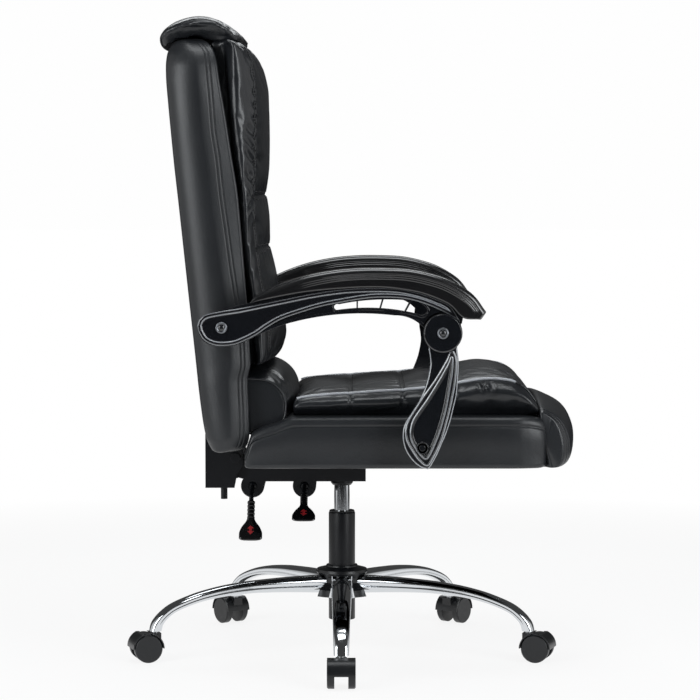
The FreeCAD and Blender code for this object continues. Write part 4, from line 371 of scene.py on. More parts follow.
# Embossed grain: pebbles of about 1 mm, drawn at 2 mm so that they show, with fine creases.
pebble = add(tree, "TexVoronoi", {"feature": "SMOOTH_F1", "Scale": 520, "Smoothness": 0.6}, at)
crease = add(tree, "TexNoise", {"Scale": 70, "Detail": 5, "Roughness": 0.6}, at)
grain = add(tree, "Bump", {"Strength": 0.16, "Distance": 0.0005}, {"Height": (pebble, "Distance")})
add(tree, "Bump", {"Strength": 0.12, "Distance": 0.0025},
    {"Height": (crease, "Fac"), "Normal": (grain, "Normal")}, [("Normal", shader, "Normal")])
cloud = patchy(tree, shader, at, 9, 3, 0.25, 0.34)
add(tree, "Mix", {"data_type": "RGBA", "A": linear("#17191c"), "B": linear("#222427")},
    {"Factor": (cloud, "Fac")}, [("Result", shader, "Base Color")])
# The stretched panels of the box and the shell are coated duller than the cushions.
panel_leather = leather.copy()
panel_leather.name = "black_coated_leather_panels"
for key, value in (("To Min", 0.34), ("To Max", 0.44)):
    panel_leather.node_tree.nodes["Map Range"].inputs[key].default_value = value


def arc(first, last, count):
    """Cosines and sines of angles in degrees, without the last one."""
    angle = np.radians(np.linspace(first, last, count, endpoint=False))
    return np.cos(angle), np.sin(angle)


def shares(count):
    """Even shares from nothing up, without the last one."""
    return np.linspace(0, 1, count, endpoint=False)


def mirrored(half_ring):
    """A ring from its half: the same points again on the other side, in the other order."""
    other = half_ring[:, ::-1] * np.array([1, -1, 1])
    return np.concatenate([half_ring, other], 1)


# Place along X, lower edge, upper edge, half width.
BOX = ((-167, 364, 388, 247), (-164, 361, 393, 252), (-154, 360, 421, 254.5), (-115, 360, 437, 255),
       (-78, 360, 449, 255), (200, 360, 450, 255), (290, 360, 450, 255), (306, 360, 450, 254),
       (322, 360, 449.5, 251), (338, 360, 447, 246), (348, 361, 443, 241), (353, 364, 437, 234),
       (356, 368, 429, 226))
TOP_ROUND, FOOT_ROUND, SIDE_SWELL, BOX_SEAM, SEAM_AT = 13, 8, 2.6, 2.4, 0.95
x = np.concatenate([np.linspace(-167, -78, 34), np.linspace(-70, 284, 40),
                    np.linspace(289, 356, 40)])
low, high, half = (column[:, None] for column in eased(BOX, x).T)
top = np.minimum(TOP_ROUND, (high - low) * 0.42)
foot = np.minimum(FOOT_ROUND, (high - low) * 0.2)
side = shares(48)
c, s = arc(-90, 0, 8)
y = [shares(8) * (half - foot), half - foot + foot * c]
z = [low + 0 * y[0], low + foot + foot * s]
# The side panel swells under its top seam.
swell = SIDE_SWELL * np.sin(np.pi * side ** 1.7) - BOX_SEAM * bell(side - SEAM_AT, 0.028)
y.append(half + swell + 0 * high)
z.append(low + foot + side * (high - top - low - foot))
c, s = arc(0, 90, 20)
y += [half - top + top * c, (half - top) * np.linspace(1, 0, 10)]
z += [high - top + top * s, high + 0 * y[-1]]
y, z = np.concatenate(y, 1), np.concatenate(z, 1)
grid = mirrored(np.stack([x[:, None] + 0 * y, -y, z], -1))
seat_box = skin("seat_upholstery", grid, panel_leather, cad=("seat_box",), crisp=80)


def along_run(route):
    """How far along a route each of its points lies."""
    return np.concatenate([[0], np.cumsum(np.linalg.norm(np.diff(route, axis=0), axis=1))])


def through(points, count, closed=False):
    """Evenly spaced points on a smooth curve through a few, each span a cubic that leaves along
    the line between its neighbours."""
    points = np.asarray(points, float)
    if closed:
        points = np.vstack([points[-1:], points, points[:2]])
    else:
        points = np.vstack([2 * points[0] - points[1], points, 2 * points[-1] - points[-2]])
    part = shares(24)[:, None]
    spans = []
    for a, b, c, d in zip(points, points[1:], points[2:], points[3:]):
        spans.append(b + 0.5 * part * (c - a + part * (2 * a - 5 * b + 4 * c - d
                                                       + part * (3 * (b - c) + d - a))))
    curve = np.vstack(spans + [points[1:2] if closed else points[-2:-1]])
    run = along_run(curve)
    wanted = np.linspace(0, run[-1], count, endpoint=not closed)
    return np.stack([np.interp(wanted, run, curve[:, k]) for k in range(points.shape[1])], -1)


# Section of the roll, forward and up, from its lower rear corner round to the upper one.
ROLL = ((330, 361), (350, 360), (385, 360), (402, 362), (413, 371), (418.5, 390), (417.5, 412),
        (407, 438), (391, 456), (368, 468), (350, 474), (343.5, 471), (343, 456), (336, 446),
        (330, 420))
ROLL_FOOT, ROLL_REAR, ROLL_HALF = 360, 343, 237
section = through(ROLL, 96, closed=True)
section[:, 1] = np.maximum(section[:, 1], ROLL_FOOT)
place_across = np.concatenate([np.linspace(0, 0.8, 30, endpoint=False),
                               1 - 0.2 * np.linspace(1, 0, 50) ** 1.15])
full = np.sqrt(np.clip(1 - place_across ** 8, 0, 1))[:, None]
share = place_across[:, None]
ahead = (np.maximum(section[:, 0] - ROLL_REAR, 0) * (1 - 0.27 * share ** 1.2)
         * (0.67 + 0.33 * full))
rise = (section[:, 1] - ROLL_FOOT) * (1 - 0.13 * share ** 1.5) * (0.96 + 0.04 * full)
# Two seams run round the roll near each end.
groove = bell(share - 0.905, 0.009) + 0.8 * bell(share - 0.955, 0.008)
ahead = ahead - 3.6 * groove * np.clip(ahead / 12, 0, 1)
rise = rise - 3.0 * groove * np.clip(rise / 40 - 1, 0, 1)
forward = np.minimum(section[:, 0], ROLL_REAR) + ahead
inset = 1 - 0.07 * bell(forward - 352, 6) * (section[:, 1] < 462)
half_grid = np.stack([forward, -ROLL_HALF * share * inset, ROLL_FOOT + 0.3 + rise], -1)
other = half_grid[1:][::-1] * np.array([1, -1, 1])
seat_roll = skin("seat_front_roll", np.concatenate([other, half_grid]), leather, body="seat",
                 crisp=70)


# ---------------------------------------------------------------------------------------------
# Seat pad. A crowned cushion sewn from a top and a side band, with a piping between them that
# carries a painted highlight, and three seams across that draw the top down. The fill swells
# between the seams.
def points_of(piece):
    """The mesh's points in millimetres, and its point normals."""
    mesh = piece.data
    points, normals = np.zeros((2, len(mesh.vertices) * 3), np.float32)
    mesh.vertices.foreach_get("co", points)
    mesh.vertex_normals.foreach_get("vector", normals)
    return points.reshape(-1, 3).astype(float) * 1000, normals.reshape(-1, 3).astype(float)


def set_points(piece, points):
    """Puts the mesh's points back."""
    piece.data.vertices.foreach_set("co", (points * MM).astype(np.float32).ravel())
    piece.data.update()


def settled(piece):
    """Makes the piece's modifiers part of its mesh."""
    bpy.context.view_layer.update()
    shown = piece.evaluated_get(bpy.context.evaluated_depsgraph_get())
    mesh = bpy.data.meshes.new_from_object(shown)
    piece.modifiers.clear()
    old, piece.data = piece.data, mesh
    bpy.data.meshes.remove(old)
    piece.data.shade_smooth()


LAST_FRAME = 20


def filled(piece, sewn, voxel, pressure, spare, cap):
    """Blows a closed cover up against its sewn points. The cover is evenly remeshed, cut a
    little larger than its form, held where `sewn` is true, and moved by at most the cap."""
    even = piece.modifiers.new("even", "REMESH")
    even.mode = "VOXEL"
    even.voxel_size = voxel * MM
    settled(piece)
    start, normals = points_of(piece)
    held = piece.vertex_groups.new(name="sewn")
    held.add(np.nonzero(sewn(start))[0].tolist(), 1.0, "REPLACE")
    cloth = piece.modifiers.new("fill", "CLOTH")
    settings = dict(quality=6, mass=0.3, tension_stiffness=20, compression_stiffness=20,
                    bending_stiffness=1.0, vertex_group_mass="sewn", shrink_min=-spare,
                    use_pressure=True, uniform_pressure_force=pressure)
    for key, value in settings.items():
        setattr(cloth.settings, key, value)
    cloth.settings.effector_weights.gravity = 0
    cloth.point_cache.frame_end = LAST_FRAME
    for number in range(1, LAST_FRAME + 1):
        scene.frame_set(number)
    after = piece.evaluated_get(bpy.context.evaluated_depsgraph_get()).data
    swollen = np.zeros(len(after.vertices) * 3, np.float32)
    after.vertices.foreach_get("co", swollen)
    moved = swollen.reshape(-1, 3) * 1000 - start
    length = np.linalg.norm(moved, axis=1)[:, None]
    piece.modifiers.clear()
    scene.frame_set(1)
    set_points(piece, start + moved * np.minimum(1, cap / np.maximum(length, 1e-6)))
    piece.vertex_groups.clear()
    finer = piece.modifiers.new("finer", "SUBSURF")
    finer.levels = finer.render_levels = 1
    settled(piece)


def hollow(distance, width):
    """How far a seam draws the cover in: full on the seam, fading over the width on each side."""
    return np.exp(-np.abs(distance / width) ** 1.3)


def wave(run, length, seed=0):
    """A sine along a run, with this length and start."""
    return np.sin(run * 2 * np.pi / length + seed)


def gathers(run, length, seed):
    """Rounded swells with sharp creases between them, about a length apart and uneven."""
    wander = 0.9 * wave(run, length * 2.3, seed) + 0.6 * wave(run, length * 4.1)
    return 2 * np.abs(np.sin(run * np.pi / length + wander)) ** 0.7 - 1


def ripple(run, length, seed):
    """A wave along a seam with an uneven pitch, between minus one and one."""
    wander = wave(run, length * 3.7, seed) * 1.4 + wave(run, length * 6.1, -seed)
    return wave(run, length, wander)


# Share of the pad's length, then the heights of its piped edge and crest as shares.
PAD_CROWN = ((0.0, 0.26, 0.27), (0.02, 0.33, 0.34), (0.11, 0.385, 0.4), (0.2, 0.42, 0.43),
             (0.34, 0.46, 0.48), (0.53, 0.53, 0.58), (0.69, 0.65, 0.76), (0.8, 0.715, 0.83),
             (0.88, 0.68, 0.765), (0.925, 0.59, 0.64), (0.96, 0.44, 0.46), (0.985, 0.26, 0.27),
             (1.0, 0.12, 0.13))
PAD_BACK, PAD_FRONT, PAD_FOOT, PAD_RIDGE, PAD_HEIGHT = -84, 342.7, 449.5, 205, 90
SEAT_CHANNELS = (15, 106, 197)
UNDER_HALF, BAND_HALF, BAND_SWELL = 208, 214, 19


def pad_heights(x):
    """Height of the piped edge and of the crest at places along the pad."""
    share = np.clip((x - PAD_BACK) / (PAD_FRONT - PAD_BACK), 0, 1)
    return PAD_FOOT + eased(PAD_CROWN, share) * PAD_HEIGHT


def bunched(count):
    """Shares of a length from nothing to one, closer together towards both ends."""
    return (1 - np.cos(np.linspace(0, np.pi, count))) / 2


def from_channel(place, channels):
    """Distance from each place to the nearest channel."""
    return np.abs(place[:, None] - np.array(channels)).min(1)


x = PAD_BACK + (PAD_FRONT - PAD_BACK) * bunched(61)
ridge, crest = pad_heights(x).T[..., None]
swell = BAND_HALF + BAND_SWELL * np.clip((ridge - PAD_FOOT) / 36, 0, 1)
spread = shares(10)
y = [UNDER_HALF * spread,
     UNDER_HALF + (swell - UNDER_HALF) * np.sin(np.pi * spread ** 1.35) - 3 * spread ** 3,
     PAD_RIDGE * (1 - np.linspace(0, 1, 16))]
z = [PAD_FOOT + 0 * y[0] * ridge, PAD_FOOT + (ridge - PAD_FOOT) * spread,
     crest - (crest - ridge) * (y[2] / PAD_RIDGE) ** 2.4]
y = np.concatenate([part + 0 * ridge for part in y], 1)
z = np.concatenate(z, 1)
seat_pad = skin("seat_cushion", mirrored(np.stack([x[:, None] + 0 * y, -y, z], -1)), leather,
                cad=("seat_pad",))
seat_pad.parent = None


def seat_sewn(points):
    """Held on the underside, along the piped edge and on the three seams across."""
    x, y, z = points.T
    piped = (np.abs(np.abs(y) - PAD_RIDGE) < 3.5) & (z > PAD_FOOT + 6)
    across = (from_channel(x, SEAT_CHANNELS) < 3.0) & (z > PAD_FOOT + 8)
    return piped | across | (z < PAD_FOOT + 4)


filled(seat_pad, seat_sewn, voxel=5.0, pressure=2.0, spare=0.004, cap=10)
points, normals = points_of(seat_pad)
x, y, z = points.T
top_side = np.clip((z - PAD_FOOT - 8) / 12, 0, 1)
gap = from_channel(x, SEAT_CHANNELS)
dip = 2.4 * hollow(gap, 3.0) * top_side
dip += 2.0 * hollow(np.abs(np.abs(y) - PAD_RIDGE), 3.0) * top_side
# The side band is gathered where the piping turns down at the front.
band = (np.abs(y) > PAD_RIDGE) & (z > PAD_FOOT + 4)
below = pad_heights(x)[:, 0] - z
dip -= band * bell(x - 250, 17) * 2.6 * gathers(x + 0.6 * z, 10, 0.7) * bell(below - 13, 8)
dip -= 0.5 * ripple(y, 31, 2.1) * hollow(gap - 7, 9) * top_side * (np.abs(y) < PAD_RIDGE)
set_points(seat_pad, points - normals * dip[:, None])
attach(seat_pad, "seat")


def laid_on(piece, route, proud):
    """Moves a route to the nearest points of a piece's surface, a little off it, and evens it
    out: three times over, each point goes to the mean of itself and its neighbours."""
    tree = BVHTree.FromPolygons([tuple(v.co) for v in piece.data.vertices],
                                [tuple(p.vertices) for p in piece.data.polygons])
    spots = []
    for point in route:
        where, normal, number, far = tree.find_nearest(Vector(point * MM))
        spots.append(np.array(where) * 1000 + np.array(normal) * proud)
    route = np.array(spots)
    for _ in range(3):
        route = np.vstack([route[:1], (route[:-2] + 2 * route[1:-1] + route[2:]) / 4, route[-1:]])
    return route


# Bonded polyester thread: black, with a dull sheen off its twist of 0.4 mm.
thread, tree, shader, at = finish("polyester_thread", {
    "Base Color": linear("#101012"), "Roughness": 0.6})
twist = add(tree, "TexWave", {"Scale": 700, "bands_direction": "DIAGONAL"}, at)
add(tree, "Bump", {"Strength": 0.4, "Distance": 0.0001}, {"Height": (twist, "Fac")},
    [("Normal", shader, "Normal")])

# A stitch from end to end: place along it, and thickness there.
BOW = np.array([(-0.5, 0.25), (-0.36, 0.9), (0.0, 1.0), (0.36, 0.9), (0.5, 0.25)])
STITCH_SHARE = 0.8


def stitches(name, routes, body, pitch=5.5, thick=0.55):
    """Rows of thread: on each route a short rounded stitch every pitch, all in one mesh."""
    grids = []
    c, s = circle(6)
    for route in routes:
        run = along_run(route)
        centre = np.arange(pitch, run[-1] - pitch, pitch)
        before, middle, after = (np.stack([np.interp(centre + off, run, route[:, k])
                                           for k in range(3)], -1) for off in (-1, 0, 1))
        ahead = after - before
        ahead /= np.linalg.norm(ahead, axis=1)[:, None]
        one = np.cross(ahead, (0.31, 0.83, 0.46))
        one /= np.linalg.norm(one, axis=1)[:, None]
        two = np.cross(ahead, one)
        ring = c[None, :, None] * one[:, None] + s[None, :, None] * two[:, None]
        grids.append(middle[:, None, None]
                     + ahead[:, None, None] * (BOW[:, 0] * pitch * STITCH_SHARE)[:, None, None]
                     + thick * BOW[:, 1][:, None, None] * ring[:, None])
    rings = np.concatenate(grids)
    count, rows, columns = rings.shape[:3]
    spot = np.arange(count * rows * columns).reshape(count, rows, columns)
    here, there = spot[:, :-1], spot[:, 1:]
    quads = np.stack([here, there, np.roll(there, -1, 2), np.roll(here, -1, 2)], -1).reshape(-1, 4)
    faces = quads.tolist() + spot[:, 0].tolist() + spot[:, -1][:, ::-1].tolist()
    placed(name, rings.reshape(-1, 3), faces, thread, body).data.shade_smooth()


# Piping with a painted highlight: a pale grey colour, a little uneven, stands in for the bright
# line the lamps draw round the cushion, and its face is polished as well.
piping_painted_highlight, tree, shader, at = finish("piping_with_painted_highlight", {
    "Roughness": 0.2, "Specular IOR Level": 0.7})
cloud = add(tree, "TexNoise", {"Scale": 60, "Detail": 3}, at)
# Painted highlight colour: pale greys in place of the piping's own black.
add(tree, "Mix", {"data_type": "RGBA", "A": linear("#9a9da2"), "B": linear("#b8bbc0")},
    {"Factor": (cloud, "Fac")}, [("Result", shader, "Base Color")])

# The piping's painted highlight ends where the cushion turns down, and a welt of plain leather goes
# on.
WELT_FROM = 304
x = np.linspace(PAD_BACK + 6, PAD_FRONT - 6, 160)
last = np.searchsorted(x, WELT_FROM)
for hand, way in HANDS:
    edge = pad_heights(x)[:, 0]
    route = laid_on(seat_pad, np.stack([x, way * (PAD_RIDGE + 2) + 0 * x, edge + 1], -1), 1.6)
    skin("seat_piping_%s" % hand, tube(route[:last], 2.5, 12), piping_painted_highlight, body="seat")
    skin("seat_front_welt_%s" % hand, tube(route[last - 2:], 2.2, 12), leather, body="seat")
rows = []
y = np.linspace(-PAD_RIDGE + 4, PAD_RIDGE - 4, 90)
for channel in SEAT_CHANNELS:
    crest = pad_heights(np.array([channel]))[0, 1]
    rows.append(laid_on(seat_pad, np.stack([channel + 2.4 + 0 * y, y, crest + 4 + 0 * y], -1), 0.1))
stitches("seat_stitching", rows, "seat")


# ---------------------------------------------------------------------------------------------
# Back shell. A foam-covered board in the same leather: rounded at the rear, its sides drawn
# forward to a lip round the pad, with a twin-needle seam along each side.
LEAN = math.radians(5.2)
FOOT = np.array([-166.0, 0, 427])


def on_back(points):
    """From the back's own frame (forward, across, up along it) to the chair's."""
    ahead, across, up = np.moveaxis(np.asarray(points, float), -1, 0)
    return FOOT + np.stack([ahead * math.cos(LEAN) - up * math.sin(LEAN), across,
                            ahead * math.sin(LEAN) + up * math.cos(LEAN)], -1)


def to_back(points):
    """From the chair's frame to the back's own."""
    x, y, z = np.moveaxis(np.asarray(points, float) - FOOT, -1, 0)
    return np.stack([x * math.cos(LEAN) + z * math.sin(LEAN), y,
                     -x * math.sin(LEAN) + z * math.cos(LEAN)], -1)


# The board's edges show between the shell and the pad, and are covered in the same leather.
dress(panel_leather, "back_board")
# Height, rear face, front lip and half width.
SHELL = ((-37.4, 49.6, -19, 232), (-34, 58.4, -7, 240), (-27, 63.2, 0.6, 244.5),
         (-11, 68.8, 5.8, 249), (27, 72.4, 8.6, 250), (86, 74.2, 12, 250), (112, 74.4, 19.2, 250),
         (251, 76.4, 23.6, 250), (394, 78.4, 24.8, 250), (476, 79.8, 20, 250), (544, 80, 16, 250),
         (601, 79.8, 11.6, 248.5), (630, 78.6, 10, 244), (652, 75.4, 6, 235), (667, 69, -2, 223),
         (676.5, 57, -15, 208), (679.5, 44, -28, 194))
# The side seam, read off at places up the back: height and how far forward it lies.
SIDE_SEAM = ((-38, -2), (60, 8), (94, 12.6), (148, 9), (225, 6), (278, 3), (348, 0), (417, -3),
             (467, -3.5), (519, -6.5), (587, -5.5), (663, -6), (680, -12))
SHELL_TOP, TURN_FROM, TURN_IN, LIP_ROUND, NEEDLES = 679.5, 22, 15, 4, 3.2


def shell_at(up):
    """Rear face, front lip, half width and side seam at heights up the shell."""
    rear, lip, half = eased(SHELL, up).T
    return rear, lip, half, np.minimum(eased(SIDE_SEAM, up)[:, 0], lip - 13)


def side_line(x, lip, half, seam_at):
    """Half width along the side, turned in towards the lip: slowly at first, then evenly."""
    first = seam_at - TURN_FROM
    share = np.clip((x - first) / (lip - LIP_ROUND - first), 0, 1)
    return half - TURN_IN * share ** 2 / (share + 0.25)


z = np.concatenate([np.linspace(-37.4, 30, 34), np.linspace(36, 600, 84),
                    np.linspace(604, SHELL_TOP, 40)])
rear, lip, half, seam_at = (column[:, None] for column in shell_at(z))
# A quarter ellipse at the rear corner, then the side in three stretches: up to the seam, over
# it in fine steps, and on to the lip, which turns back to the board on a half circle.
deep = np.maximum(seam_at - TURN_FROM + rear, (seam_at - 8 + rear) * 0.8)
broad = np.minimum(32, deep * 0.8)
c, s = arc(0, 90, 16)
y = [(half - broad) * shares(10), half - broad + broad * s]
x = [-rear - 0.8 + 0 * y[0], -rear - 0.8 + deep - deep * c]
start = deep - rear
offset = np.array([-8, -5.5, -4.4, -3.7, -3.2, -2.7, -2, -1, 1, 2, 2.7, 3.2, 3.7, 4.4, 5.5])
stretches = [start + (seam_at - 8 - start) * shares(14), seam_at + offset,
             seam_at + 7 + (lip - LIP_ROUND - seam_at - 7) * shares(8)]
x += stretches
y += [side_line(part, lip, half, seam_at) for part in stretches]
y[3] = y[3] - 1.1 * bell(np.abs(offset) - NEEDLES, 0.7)
c, s = arc(0, 180, 14)
x.append(lip - LIP_ROUND + LIP_ROUND * s)
y.append(half - 16.25 + 4.25 * c)
inner = np.minimum(0, lip - 8)
share = shares(5)
x += [lip - LIP_ROUND + (inner - lip + LIP_ROUND) * share, inner + np.zeros(8)]
y += [half - 20.5 + 0 * share, (half - 20.5) * np.linspace(1, 0, 8)]
x, y = np.concatenate(x, 1), np.concatenate(y, 1)
ring = np.stack([x, -y, z[:, None] + 0 * x], -1)
back_shell = skin("back_upholstery", on_back(mirrored(ring)), panel_leather, cad=("back_shell",),
                  crisp=80)
up = np.linspace(40, 640, 260)
rear, lip, half, seam_at = shell_at(up)
rows = []
for hand, way in HANDS:
    for offset in (-NEEDLES, NEEDLES):
        out = side_line(seam_at + offset, lip, half, seam_at) - 0.6
        rows.append(on_back(np.stack([seam_at + offset, way * out, up], -1)))
stitches("back_side_stitching", rows, "back", pitch=5, thick=0.5)

# ---------------------------------------------------------------------------------------------
# Back pad. A deep cushion with a side bolster along each edge, three seams across its lower half
# and gathered leather along the bolster seams.

# Share of the pad's height, then the depths of its bolster seam and crest as shares.
PAD_DEPTH = ((0.0, 0.5, 0.7), (0.01, 0.55, 0.78), (0.03, 0.59, 0.83), (0.07, 0.62, 0.865),
             (0.12, 0.63, 0.865), (0.2, 0.59, 0.81), (0.3, 0.55, 0.74), (0.38, 0.53, 0.72),
             (0.5, 0.56, 0.74), (0.56, 0.61, 0.755), (0.63, 0.67, 0.8), (0.72, 0.74, 0.86),
             (0.8, 0.79, 0.9), (0.87, 0.81, 0.92), (0.93, 0.79, 0.88), (0.965, 0.71, 0.8),
             (0.985, 0.6, 0.69), (1.0, 0.42, 0.52))
BACK_LOW, BACK_HIGH, BOLSTER, BACK_DEPTH = 108, 671, 190, 86
NECK, WING_OUT, WING_BACK = 194, 32, 36
BACK_CHANNELS = (214, 306, 398)


def back_depths(up):
    """How far forward the bolster seam and the crest lie at places up the back."""
    share = np.clip((up - BACK_LOW) / (BACK_HIGH - BACK_LOW), 0, 1)
    return eased(PAD_DEPTH, share) * BACK_DEPTH


z = BACK_LOW + (BACK_HIGH - BACK_LOW) * bunched(81)
seam, crest = back_depths(z).T[..., None]
share = shares(12)
wing = 34 * np.minimum(1, seam / 50)
y = [NECK * shares(8), NECK + 0 * share, NECK + WING_OUT * np.sin(np.pi / 2 * share),
     NECK + WING_OUT - WING_BACK * share ** 1.6, BOLSTER * (1 - np.linspace(0, 1, 18))]
x = [0 * y[0] * seam, wing * 0.82 * share,
     wing * (0.82 + 0.36 * (1 - np.cos(np.pi / 2 * share))),
     wing * 1.18 + (seam - wing * 1.18) * share,
     crest - (crest - seam) * (y[4] / BOLSTER) ** 2.4]
y = np.concatenate([part + 0 * seam for part in y], 1)
x = np.concatenate(x, 1)
back_pad = skin("back_cushion", on_back(mirrored(np.stack([x, -y, z[:, None] + 0 * x], -1))),
                leather, cad=("back_pad",))
back_pad.parent = None


def back_sewn(points):
    """Held at the rear face, along the bolster seams and on the seams across between them."""
    x, y, z = to_back(points).T
    beside = (np.abs(np.abs(y) - BOLSTER) < 3.5) & (x > 20)
    across = (from_channel(z, BACK_CHANNELS) < 3.0) & (x > 20) & (np.abs(y) < BOLSTER)
    return beside | across | (x < 6)


filled(back_pad, back_sewn, voxel=5.6, pressure=2.0, spare=0.005, cap=14)
points, normals = points_of(back_pad)
x, y, z = to_back(points).T
facing = np.clip((x - 22) / 14, 0, 1)
gap = from_channel(z, BACK_CHANNELS)
to_seam = np.abs(np.abs(y) - BOLSTER)
within = np.clip((BOLSTER + 6 - np.abs(y)) / 12, 0, 1)
dip = 2.6 * hollow(gap, 3.0) * facing * within
dip += 2.6 * hollow(to_seam, 3.0) * facing
# The leather is drawn into slanting folds where the top channel meets each bolster seam, and
# into small puckers along the seam above them.
from_top = z - BACK_CHANNELS[2]
slanted = np.abs(from_top) - 0.85 * np.abs(y)
drawn = np.where(from_top > 0, bell(from_top - 58, 58), bell(from_top + 14, 26))
beside = np.exp(-((np.abs(y) - BOLSTER - 11) / 20) ** 4)
dip -= 4.4 * ripple(slanted, 26, 0.4 + np.sign(y)) * drawn * facing * beside
dip -= 1.8 * ripple(z, 31, 1.1) * bell(to_seam, 8) * facing * np.clip((z - 500) / 40, 0, 1)
dip -= 0.7 * ripple(y, 27, 1.9) * hollow(gap - 9, 11) * facing * within
set_points(back_pad, points - normals * dip[:, None])
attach(back_pad, "back")
rows = []
up = np.linspace(BACK_LOW + 14, BACK_HIGH - 14, 190)
depth = back_depths(up)[:, 0]
for hand, way in HANDS:
    for offset in (-3.4, 3.4):
        spot = on_back(np.stack([depth + 3, way * (BOLSTER + offset) + 0 * up, up], -1))
        rows.append(laid_on(back_pad, spot, 0.1))
y = np.linspace(-BOLSTER + 6, BOLSTER - 6, 120)
for channel in BACK_CHANNELS:
    depth = back_depths(np.array([channel]))[0, 1]
    for offset in (-3.5, 3.5):
        spot = on_back(np.stack([depth + 4 + 0 * y, y, channel + offset + 0 * y], -1))
        rows.append(laid_on(back_pad, spot, 0.1))
stitches("back_pad_stitching", rows, "back", thick=0.8)

# ---------------------------------------------------------------------------------------------
# Head roll. A crescent cushion tacked over the top of the back, thin at its rear lip, with short
# creases where its front edge is drawn down.
HEAD = ((58, -9), (50, 3), (33, 20), (12, 34), (-23, 40), (-58, 33.5), (-80, 24), (-91.5, 13),
        (-94, 3), (-91, -7), (-86, -10), (-79, -3), (-62, 4.5), (-40, 6), (-15, 1.6), (3, -7),
        (24, -11), (44, -12))
HEAD_HALF, HEAD_MIDDLE, UNDERSIDE = 226, -18, 1.6
section = through(HEAD, 80, closed=True)
place_across = np.linspace(-1, 1, 65)
place_across = (np.sign(place_across) * (1 - (1 - np.abs(place_across)) ** 1.5))[:, None]
full = np.sqrt(np.clip(1 - np.abs(place_across) ** 10, 0, 1))
ahead, up = section.T
curve = place_across ** 2
ahead = HEAD_MIDDLE + (ahead - HEAD_MIDDLE) * (0.93 + 0.07 * full) * (1 - 0.13 * curve)
up = np.where(up > UNDERSIDE,
              UNDERSIDE + (up - UNDERSIDE) * (0.5 + 0.5 * full) * (1 - 0.12 * curve), up)
# The ends slope in towards the underside.
tuck = 0.16 * np.clip((36 - up) / 44, 0, 1) ** 1.2 * np.abs(place_across) ** 5
ring = np.stack([ahead, HEAD_HALF * place_across * (1 - tuck), SHELL_TOP + up], -1)
head = skin("head_cushion", on_back(ring), leather, cad=("head_roll",))
head.parent = None


def head_sewn(points):
    """Held along the underside, where it is tacked down."""
    return to_back(points)[:, 2] < SHELL_TOP + 4


filled(head, head_sewn, voxel=4.5, pressure=1.2, spare=0.004, cap=5)
points, normals = points_of(head)
x, y, z = to_back(points).T
dip = (-1.1 * ripple(y + 0.6 * x, 27, 0.9) * (1 + 0.4 * ripple(y, 61, 0.2)) * bell(x - 36, 18)
       * (z > SHELL_TOP))
dip += 1.8 * hollow(np.abs(np.abs(y) - 212), 3.0) * (z > SHELL_TOP - 3.5)
set_points(head, points - normals * dip[:, None])
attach(head, "back")

# ---------------------------------------------------------------------------------------------
# Lumbar roll. A D-shaped bolster, flat at the back and fuller in its middle, with a piped
# D-shaped panel at each end.
LUMBAR = ((3, -9), (24, -11), (48, -7), (66, 7), (73, 33), (68, 58), (52, 76), (30, 83.5), (4, 84),
          (1, 60), (1, 36), (1, 14))
LUMBAR_HALF, LUMBAR_REAR, LUMBAR_FOOT, PANEL_MIDDLE = 215, 9, -11, np.array([41, 36])
section = through(LUMBAR, 64, closed=True)
place_across = np.linspace(-1, 1, 49)[:, None]
full = 1 - place_across ** 2
ahead = LUMBAR_REAR + (section[:, 0] - LUMBAR_REAR) * (1 + 0.31 * full)
up = LUMBAR_FOOT + (section[:, 1] - LUMBAR_FOOT) * (1 + 0.23 * full)
ring = np.stack([ahead, LUMBAR_HALF * place_across + 0 * ahead, up], -1)
lumbar = skin("lumbar_cushion", on_back(ring), leather, cad=("lumbar_roll",), crisp=60)
lumbar.parent = None


def lumbar_sewn(points):
    """Held on the flat rear and on the end panels."""
    x, y, z = to_back(points).T
    return (x < 6) | (np.abs(y) > LUMBAR_HALF - 6)


filled(lumbar, lumbar_sewn, voxel=4.5, pressure=1.5, spare=0.003, cap=6)
points, normals = points_of(lumbar)
x, y, z = to_back(points).T
near_end = bell(np.abs(y) - 190, 22) * (np.abs(y) < LUMBAR_HALF - 2) * (x > 16)
dip = -0.45 * ripple(z + 0.5 * np.abs(y), 25, 0.3) * near_end
set_points(lumbar, points - normals * dip[:, None])
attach(lumbar, "back")
rim = PANEL_MIDDLE + (np.vstack([section, section[:1]]) - PANEL_MIDDLE) * 0.985
for hand, way in HANDS:
    route = on_back(np.stack([rim[:, 0], way * (LUMBAR_HALF - 0.5) + 0 * rim[:, 0], rim[:, 1]], -1))
    skin("lumbar_piping_%s" % hand, tube(route, 1.9, 10), leather, body="back")

# ---------------------------------------------------------------------------------------------
# Armrests. The pad is polyurethane moulded in one piece, with fine ridges along its shoulders;
# the frame, link and cap are injection-moulded and satin black.
satin, tree, shader, at = finish("satin_black_polypropylene", {
    "Base Color": linear("#101216"), "Specular IOR Level": 0.7, "Coat Weight": 0.5,
    "Coat Roughness": 0.12})
fine = add(tree, "TexNoise", {"Scale": 1100, "Detail": 2}, at)
rounded(tree, shader, 0.0016, samples=8, height=(fine, "Fac"))
patchy(tree, shader, at, 22, 3, 0.14, 0.22)
dress(satin, "link_bolts", *["%s_%s" % (part, hand) for part in ("arm_frame", "pivot_disc")
                             for hand, way in HANDS])
# The same plastic with painted highlights: where the attribute is set, the flanks of ribs and rims
# are painted pale grey to stand in for the bright lines the lamps draw on them.
ribbed = satin.copy()
ribbed.name = "satin_black_polypropylene_painted_highlights"
tree = ribbed.node_tree
painted_highlight = add(tree, "Attribute", {"attribute_name": "painted_highlight"})
# Painted highlight: pale grey mixed into the black by the per-point attribute.
add(tree, "Mix", {"data_type": "RGBA", "A": linear("#101216"), "B": linear("#b9bcc1")},
    {"Factor": (painted_highlight, "Fac")}, [("Result", tree.nodes["Principled BSDF"], "Base Color")])

